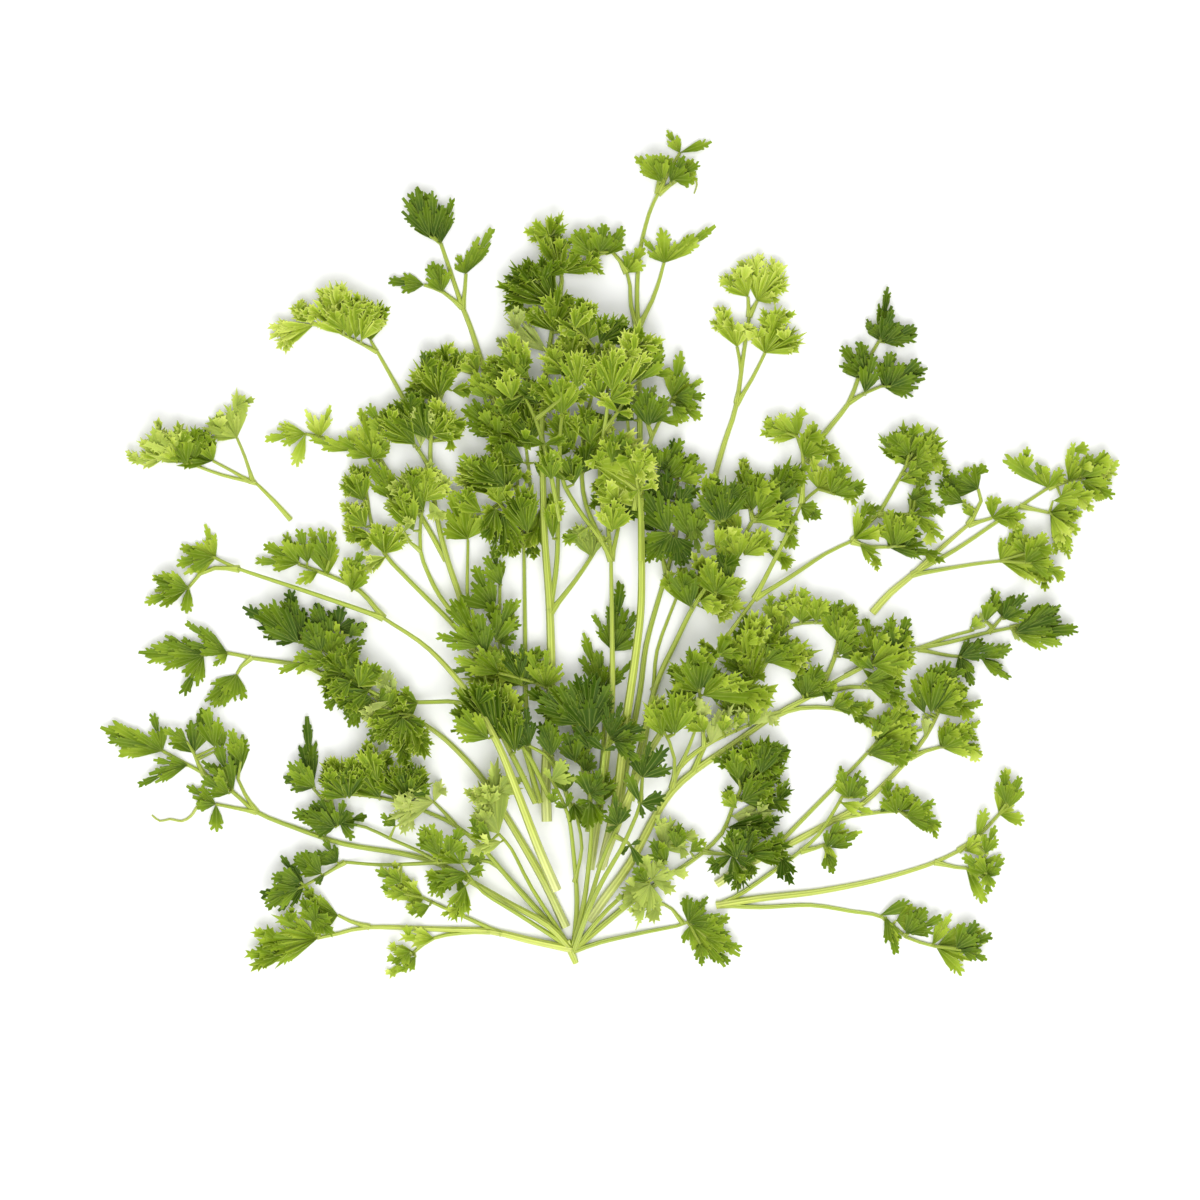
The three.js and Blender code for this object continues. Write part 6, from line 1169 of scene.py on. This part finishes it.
class Nodes:  # short calls for wiring one material
    def __init__(self, name):
        self.material = bpy.data.materials.new(name)
        self.material.use_nodes = True
        self.nodes, self.links = self.material.node_tree.nodes, self.material.node_tree.links
        self.shader = self.nodes["Principled BSDF"]

    def node(self, kind, inputs=(), **settings):  # a new node with its inputs set or linked
        made = self.nodes.new("ShaderNode" + kind)
        for key, value in settings.items():
            setattr(made, key, value)
        for key, value in dict(inputs).items():
            self.plug(value, made.inputs[key])
        return made

    def plug(self, value, socket):
        if hasattr(value, "is_linked"):
            self.links.new(value, socket)
        else:
            socket.default_value = value

    def math(self, operation, a, b=0.0, clamp=False):
        return self.node("Math", {0: a, 1: b}, operation=operation, use_clamp=clamp).outputs[0]

    def group(self, tree):
        made = self.nodes.new("ShaderNodeGroup")
        made.node_tree = tree
        return made

    def blend(self, factor, a, b, kind="MIX"):
        made = self.nodes.new("ShaderNodeMix")
        made.data_type, made.blend_type = "RGBA", kind
        self.plug(factor, made.inputs[0])
        self.plug(a, made.inputs[6])
        self.plug(b, made.inputs[7])
        return made.outputs[2]

    def shaded(self, colour, amount):  # colour x amount
        grey = self.node("CombineXYZ", {0: amount, 1: amount, 2: amount}).outputs[0]
        return self.blend(1.0, colour, grey, "MULTIPLY")

    def value(self, attribute):
        return self.node("Attribute", attribute_name=attribute).outputs["Fac"]

    def ramp(self, factor, stops):
        made = self.node("ValToRGB", {"Fac": factor})
        ends = made.color_ramp.elements
        while len(ends) < len(stops):
            ends.new(0.5)
        for element, (at, colour) in zip(ends, stops):
            element.position, element.color = at, colour
        return made.outputs["Color"]

    def finish(self, look, colour, relief):  # colour, gloss, relief and the light let through
        sockets = self.shader.inputs
        self.plug(colour, sockets["Base Color"])
        sockets["Roughness"].default_value = look["roughness"]
        sockets["Specular IOR Level"].default_value = look["gloss"]
        sockets["Subsurface Weight"].default_value = look["glow"]
        sockets["Subsurface Radius"].default_value = look["glowColour"]
        sockets["Subsurface Scale"].default_value = look["glowDepth"]
        bump = self.node("Bump", {"Height": relief, "Strength": look["bump"], "Distance": look["bumpDepth"]})
        self.plug(bump.outputs[0], sockets["Normal"])
        return self.material


leafColours = dict(
    pale=srgb(202, 215, 100), fresh=srgb(152, 173, 46), mid=srgb(103, 128, 13), deep=srgb(54, 80, 3),
    freshAt=0.3, midAt=0.6,  # the tones that these stand for, from pale at 0 to deep at 1
    underPale=srgb(190, 203, 108), underDeep=srgb(122, 140, 66), vein=srgb(206, 220, 112),
    veins=1.5, veinWidth=0.2, veinFade=0.8, veinShare=0.24, veinRelief=-0.6,
    paintedRimHighlight=-0.42, rimPower=3.0,  # painted highlight: the rim is painted paler, as if lit through and along its thin edge, over a strip that is thinner at a higher power
    paintedBaseShade=0.38, baseFade=1.4, allDark=0.06,  # painted shade: each finger is painted darker towards its base, where the fingers around it shade it; allDark darkens every part alike
    patch=0.5, grain=0.12, grainRelief=0.5,
    roughness=0.5, gloss=0.12, bump=0.5, bumpDepth=0.3e-3,
    glow=0.12, glowColour=(0.6, 1.0, 0.2), glowDepth=1.2e-3)


# The tone picks a green: the leaf's own tone - a painted highlight at the rim (rim cubed) + painted shade at
# the base + patches. Veins fan out from the base.
def makeLeafSkin(mottle):
    look, n = leafColours, Nodes("leaf_skin")
    patches = n.group(mottle)
    uv = n.node("SeparateXYZ", {0: n.node("UVMap", uv_map="skin").outputs[0]})
    side = n.math("MULTIPLY", n.math("ABSOLUTE", uv.outputs[0]), look["veins"])
    toVein = n.math("ABSOLUTE", n.math("SUBTRACT", side, n.math("ROUND", side)))
    vein = n.math("SUBTRACT", 1.0, n.math("DIVIDE", toVein, look["veinWidth"]), clamp=True)
    fade = n.math("SUBTRACT", 1.0, n.math("MULTIPLY", uv.outputs[1], look["veinFade"]), clamp=True)
    veinMask = n.math("MULTIPLY", vein, fade)
    spread = n.math("MULTIPLY", n.math("SUBTRACT", patches.outputs["Patch"], 0.5), look["patch"])
    # painted highlight: the outer rings of each finger are painted paler
    edge = n.math("MULTIPLY", n.math("POWER", n.value("rim"), look["rimPower"]), look["paintedRimHighlight"])
    # painted shade: the base of each finger is painted darker, fading out along it
    paintedShadeAmount = n.math("SUBTRACT", 1.0, n.math("MULTIPLY", uv.outputs[1], look["baseFade"]), clamp=True)
    paintedShadeAmount = n.math("ADD", look["allDark"], n.math("MULTIPLY", paintedShadeAmount, look["paintedBaseShade"]))
    tone = n.math("ADD", n.value("tone"), n.math("ADD", edge, paintedShadeAmount))
    tone = n.math("ADD", tone, spread, clamp=True)
    top = n.ramp(tone, [(0.0, look["pale"]), (look["freshAt"], look["fresh"]), (look["midAt"], look["mid"]),
                        (1.0, look["deep"])])
    below = n.ramp(tone, [(0.0, look["underPale"]), (1.0, look["underDeep"])])
    colour = n.blend(n.value("under"), top, below)
    colour = n.blend(n.math("MULTIPLY", veinMask, look["veinShare"]), colour, look["vein"])
    grain = n.math("MULTIPLY", patches.outputs["Grain"], look["grain"])
    colour = n.shaded(colour, n.math("ADD", grain, 1 - look["grain"] / 2))
    relief = n.math("ADD", n.math("MULTIPLY", veinMask, look["veinRelief"]),
                    n.math("MULTIPLY", patches.outputs["Grain"], look["grainRelief"]))
    return n.finish(look, colour, relief)


stemColours = dict(
    foot=srgb(238, 240, 168), low=srgb(214, 222, 108), high=srgb(182, 200, 74), dark=srgb(136, 158, 46),
    lowAt=0.12, highAt=0.75,  # how far along a stem has turned from its foot's colour to these
    toneShare=0.8, stripes=6, stripe=0.12, patch=0.3, light=0.82,
    roughness=0.4, gloss=0.5, bump=0.7, bumpDepth=0.2e-3,
    glow=0.15, glowColour=(0.8, 1.0, 0.3), glowDepth=2e-3)


# Pale at the foot and greener along it, times light + stripes round it + patches.
def makeStemSkin(mottle):
    look, n = stemColours, Nodes("stem_skin")
    patches = n.group(mottle)
    uv = n.node("SeparateXYZ", {0: n.node("UVMap", uv_map="skin").outputs[0]})
    stripe = n.math("SINE", n.math("MULTIPLY", uv.outputs[0], 2 * math.pi * look["stripes"]))
    along = n.ramp(n.value("rim"), [(0.0, look["foot"]), (look["lowAt"], look["low"]),
                                    (look["highAt"], look["high"])])
    colour = n.blend(n.math("MULTIPLY", n.value("tone"), look["toneShare"], clamp=True), along, look["dark"])
    shade = n.math("ADD", n.math("MULTIPLY", stripe, look["stripe"]),
                   n.math("MULTIPLY", patches.outputs["Patch"], look["patch"]))
    colour = n.shaded(colour, n.math("ADD", shade, look["light"]))
    return n.finish(look, colour, stripe)


mottle = makeMottle()
skins = [makeLeafSkin(mottle), makeStemSkin(mottle)]
print("skins made")

cornersOf = {}
for nodeName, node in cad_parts.items():
    flat = np.zeros(len(node.data.vertices) * 3)
    node.data.vertices.foreach_get("co", flat)
    cornersOf[nodeName] = flat.reshape(-1, 3)

sprigLook = dict(seed=100, ownTone=0.08, frills=2)
sprays = {}
tones = {}
hosts = []
missed = 0
for index, sprig in enumerate(sprigs):
    rng = np.random.default_rng(sprigLook["seed"] + index)
    nodeName = sprig.get("node", sprig["name"])
    spray = sprays.setdefault(nodeName, Spray())
    tones.setdefault(nodeName, []).append(sprig["tone"])
    read = readSprig(sprig, index + 1)
    missed += read["missed"]
    hosts.append((read["paths"], spray, sprig))
    for number, path in enumerate(read["paths"]):
        centres = smoothPath(path["full"], path["heights"], path["plan"], stemLook["step"])
        run = runOf(centres)
        radii = mix(path["radii"][0], path["radii"][-1], run / run[-1])
        slim = bounded((stemLook["broad"] - radii[0]) / stemLook["fade"])
        start = stemLook["armStart"] if number else stemLook["slimStart"] * slim
        addStem(spray, centres, radii, stemTone(sprig["tone"]), start, stemLook["flare"] if number else 0)
    for blade in read["blades"]:
        root = blade["leaf"][0]
        tone, under = root[2:] if len(root) == 4 else (sprig["tone"], 0.0)
        tone = bounded(tone + rng.uniform(-sprigLook["ownTone"], sprigLook["ownTone"]))
        foot = [*blade["near"]["place"], blade["rootHeight"]]
        neck = np.array([foot, [*blade["hub"], blade["hubHeight"]]])
        thin = sprig["radii"][1] * sheetUnit
        addNeck(spray, neck, [thin * share for share in stemLook["neckTaper"]], stemTone(sprig["tone"]))
        addLeaf(spray, blade, sprig["crisp"], tone, under, sprigLook["frills"], rng)
print("leafy stems laid:", len(sprigs))


def hostOf(point):  # the nearest stem of all: the place on it, its height there, its spray and sprig
    found = [nearestOn([path["plan"] for path in paths], point) for paths, _, _ in hosts]
    chosen = min(range(len(hosts)), key=lambda k: found[k]["gap"])
    paths, spray, sprig = hosts[chosen]
    near = found[chosen]
    return near["place"], valueAt(paths[near["index"]]["heights"], near), spray, sprig


infillLook = dict(seed=900, above=(1.2e-3, 5e-3), slope=0.12, neck=0.45e-3, leastCrisp=0.3, frills=1)
for index, (rootX, rootY, tipX, tipY, half, tone) in enumerate(infill):
    rng = np.random.default_rng(infillLook["seed"] + index)
    base = toPlan((rootX, rootY))
    place, height, spray, sprig = hostOf(base)
    hubHeight = height + rng.uniform(*infillLook["above"])
    slopes = (-math.pi, math.pi), (infillLook["slope"], infillLook["slope"])
    blade = dict(leaf=[(rootX, rootY), (tipX, tipY, half)], base=base, hub=base, hubHeight=hubHeight,
                 heading=math.atan2(rootY - tipY, tipX - rootX), fan=slopes)
    thin = infillLook["neck"]
    neck = np.array([[*place, height], [*base, hubHeight]])
    addNeck(spray, neck, (thin, thin * stemLook["infillTaper"]), stemTone(tone))
    crisp = max(infillLook["leastCrisp"], sprig["crisp"])
    addLeaf(spray, blade, crisp, tone, 0.0, infillLook["frills"], rng)
print("leaves between them:", len(infill))

wispLook = dict(step=1.5e-3, lift=0.3e-3, start=0.4)
for run, first, last, tone in wisps:
    points = np.array([toPlan(p) for p in run])
    _, high, spray, _ = hostOf(points[0])
    low = wispLook["lift"] + last * sheetUnit
    centres = smoothPath(points, np.linspace(high, low, len(points)), points, wispLook["step"])
    addStem(spray, centres, np.linspace(first, last, len(centres)) * sheetUnit, tone, wispLook["start"], 0)
print("heights not found on the solids:", missed)


triangles = 0
for nodeName, spray in sprays.items():
    piece = makePiece(nodeName + "_spray", spray, skins)
    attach(piece, "root")
    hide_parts(nodeName)
    triangles += sum(2 * len(q) for q in spray.quads) + sum(len(cap) - 2 for cap, _ in spray.caps)
print("bunch built:", len(sprays), "pieces,", triangles, "triangles")

stageLook = dict(
    floorSize=3.0, floorWhite=0.9, floorRoughness=0.9, floorGloss=0.1, worldLight=0.86,
    keyPower=18.0, keySize=1.1, keyPlace=(0.1, -0.9, 1.3),
    fillPower=4.0, fillSize=1.2, fillPlace=(-0.3, 0.5, 1.6),
    cameraHeight=1.6, aim=(600, 599), seen=1200)  # what the camera sees, in sheet units


def makeFloor():  # a plain square at height 0
    half = stageLook["floorSize"] / 2
    corners = [(-half, -half, 0), (half, -half, 0), (half, half, 0), (-half, half, 0)]
    mesh = bpy.data.meshes.new("floor")
    mesh.from_pydata(corners, [], [(0, 1, 2, 3)])
    n = Nodes("floor_white")
    white = stageLook["floorWhite"]
    n.shader.inputs["Base Color"].default_value = (white, white, white, 1)
    n.shader.inputs["Roughness"].default_value = stageLook["floorRoughness"]
    n.shader.inputs["Specular IOR Level"].default_value = stageLook["floorGloss"]
    mesh.materials.append(n.material)
    floor = bpy.data.objects.new("floor", mesh)
    bpy.context.scene.collection.objects.link(floor)


def makeLight(name):  # a soft square light, turned to the origin
    light = bpy.data.lights.new(name, "AREA")
    light.energy, light.size = stageLook[name + "Power"], stageLook[name + "Size"]
    lamp = bpy.data.objects.new(name, light)
    lamp.location = stageLook[name + "Place"]
    lamp.rotation_euler = (-lamp.location).to_track_quat("-Z", "Y").to_euler()
    bpy.context.scene.collection.objects.link(lamp)


def makeCamera():  # straight down; lens / sensor width = height / width seen
    camera = bpy.data.cameras.new("camera")
    height = stageLook["cameraHeight"]
    camera.lens = camera.sensor_width * height / (stageLook["seen"] * sheetUnit)
    holder = bpy.data.objects.new("camera", camera)
    holder.location = (*toPlan(stageLook["aim"]), height)
    bpy.context.scene.collection.objects.link(holder)
    bpy.context.scene.camera = holder


makeFloor()
makeLight("key")
makeLight("fill")
world = bpy.data.worlds.new("studio")
world.use_nodes = True
world.node_tree.nodes["Background"].inputs[0].default_value = (1, 1, 1, 1)
world.node_tree.nodes["Background"].inputs[1].default_value = stageLook["worldLight"]
bpy.context.scene.world = world
bpy.context.scene.view_settings.view_transform = "Standard"
makeCamera()
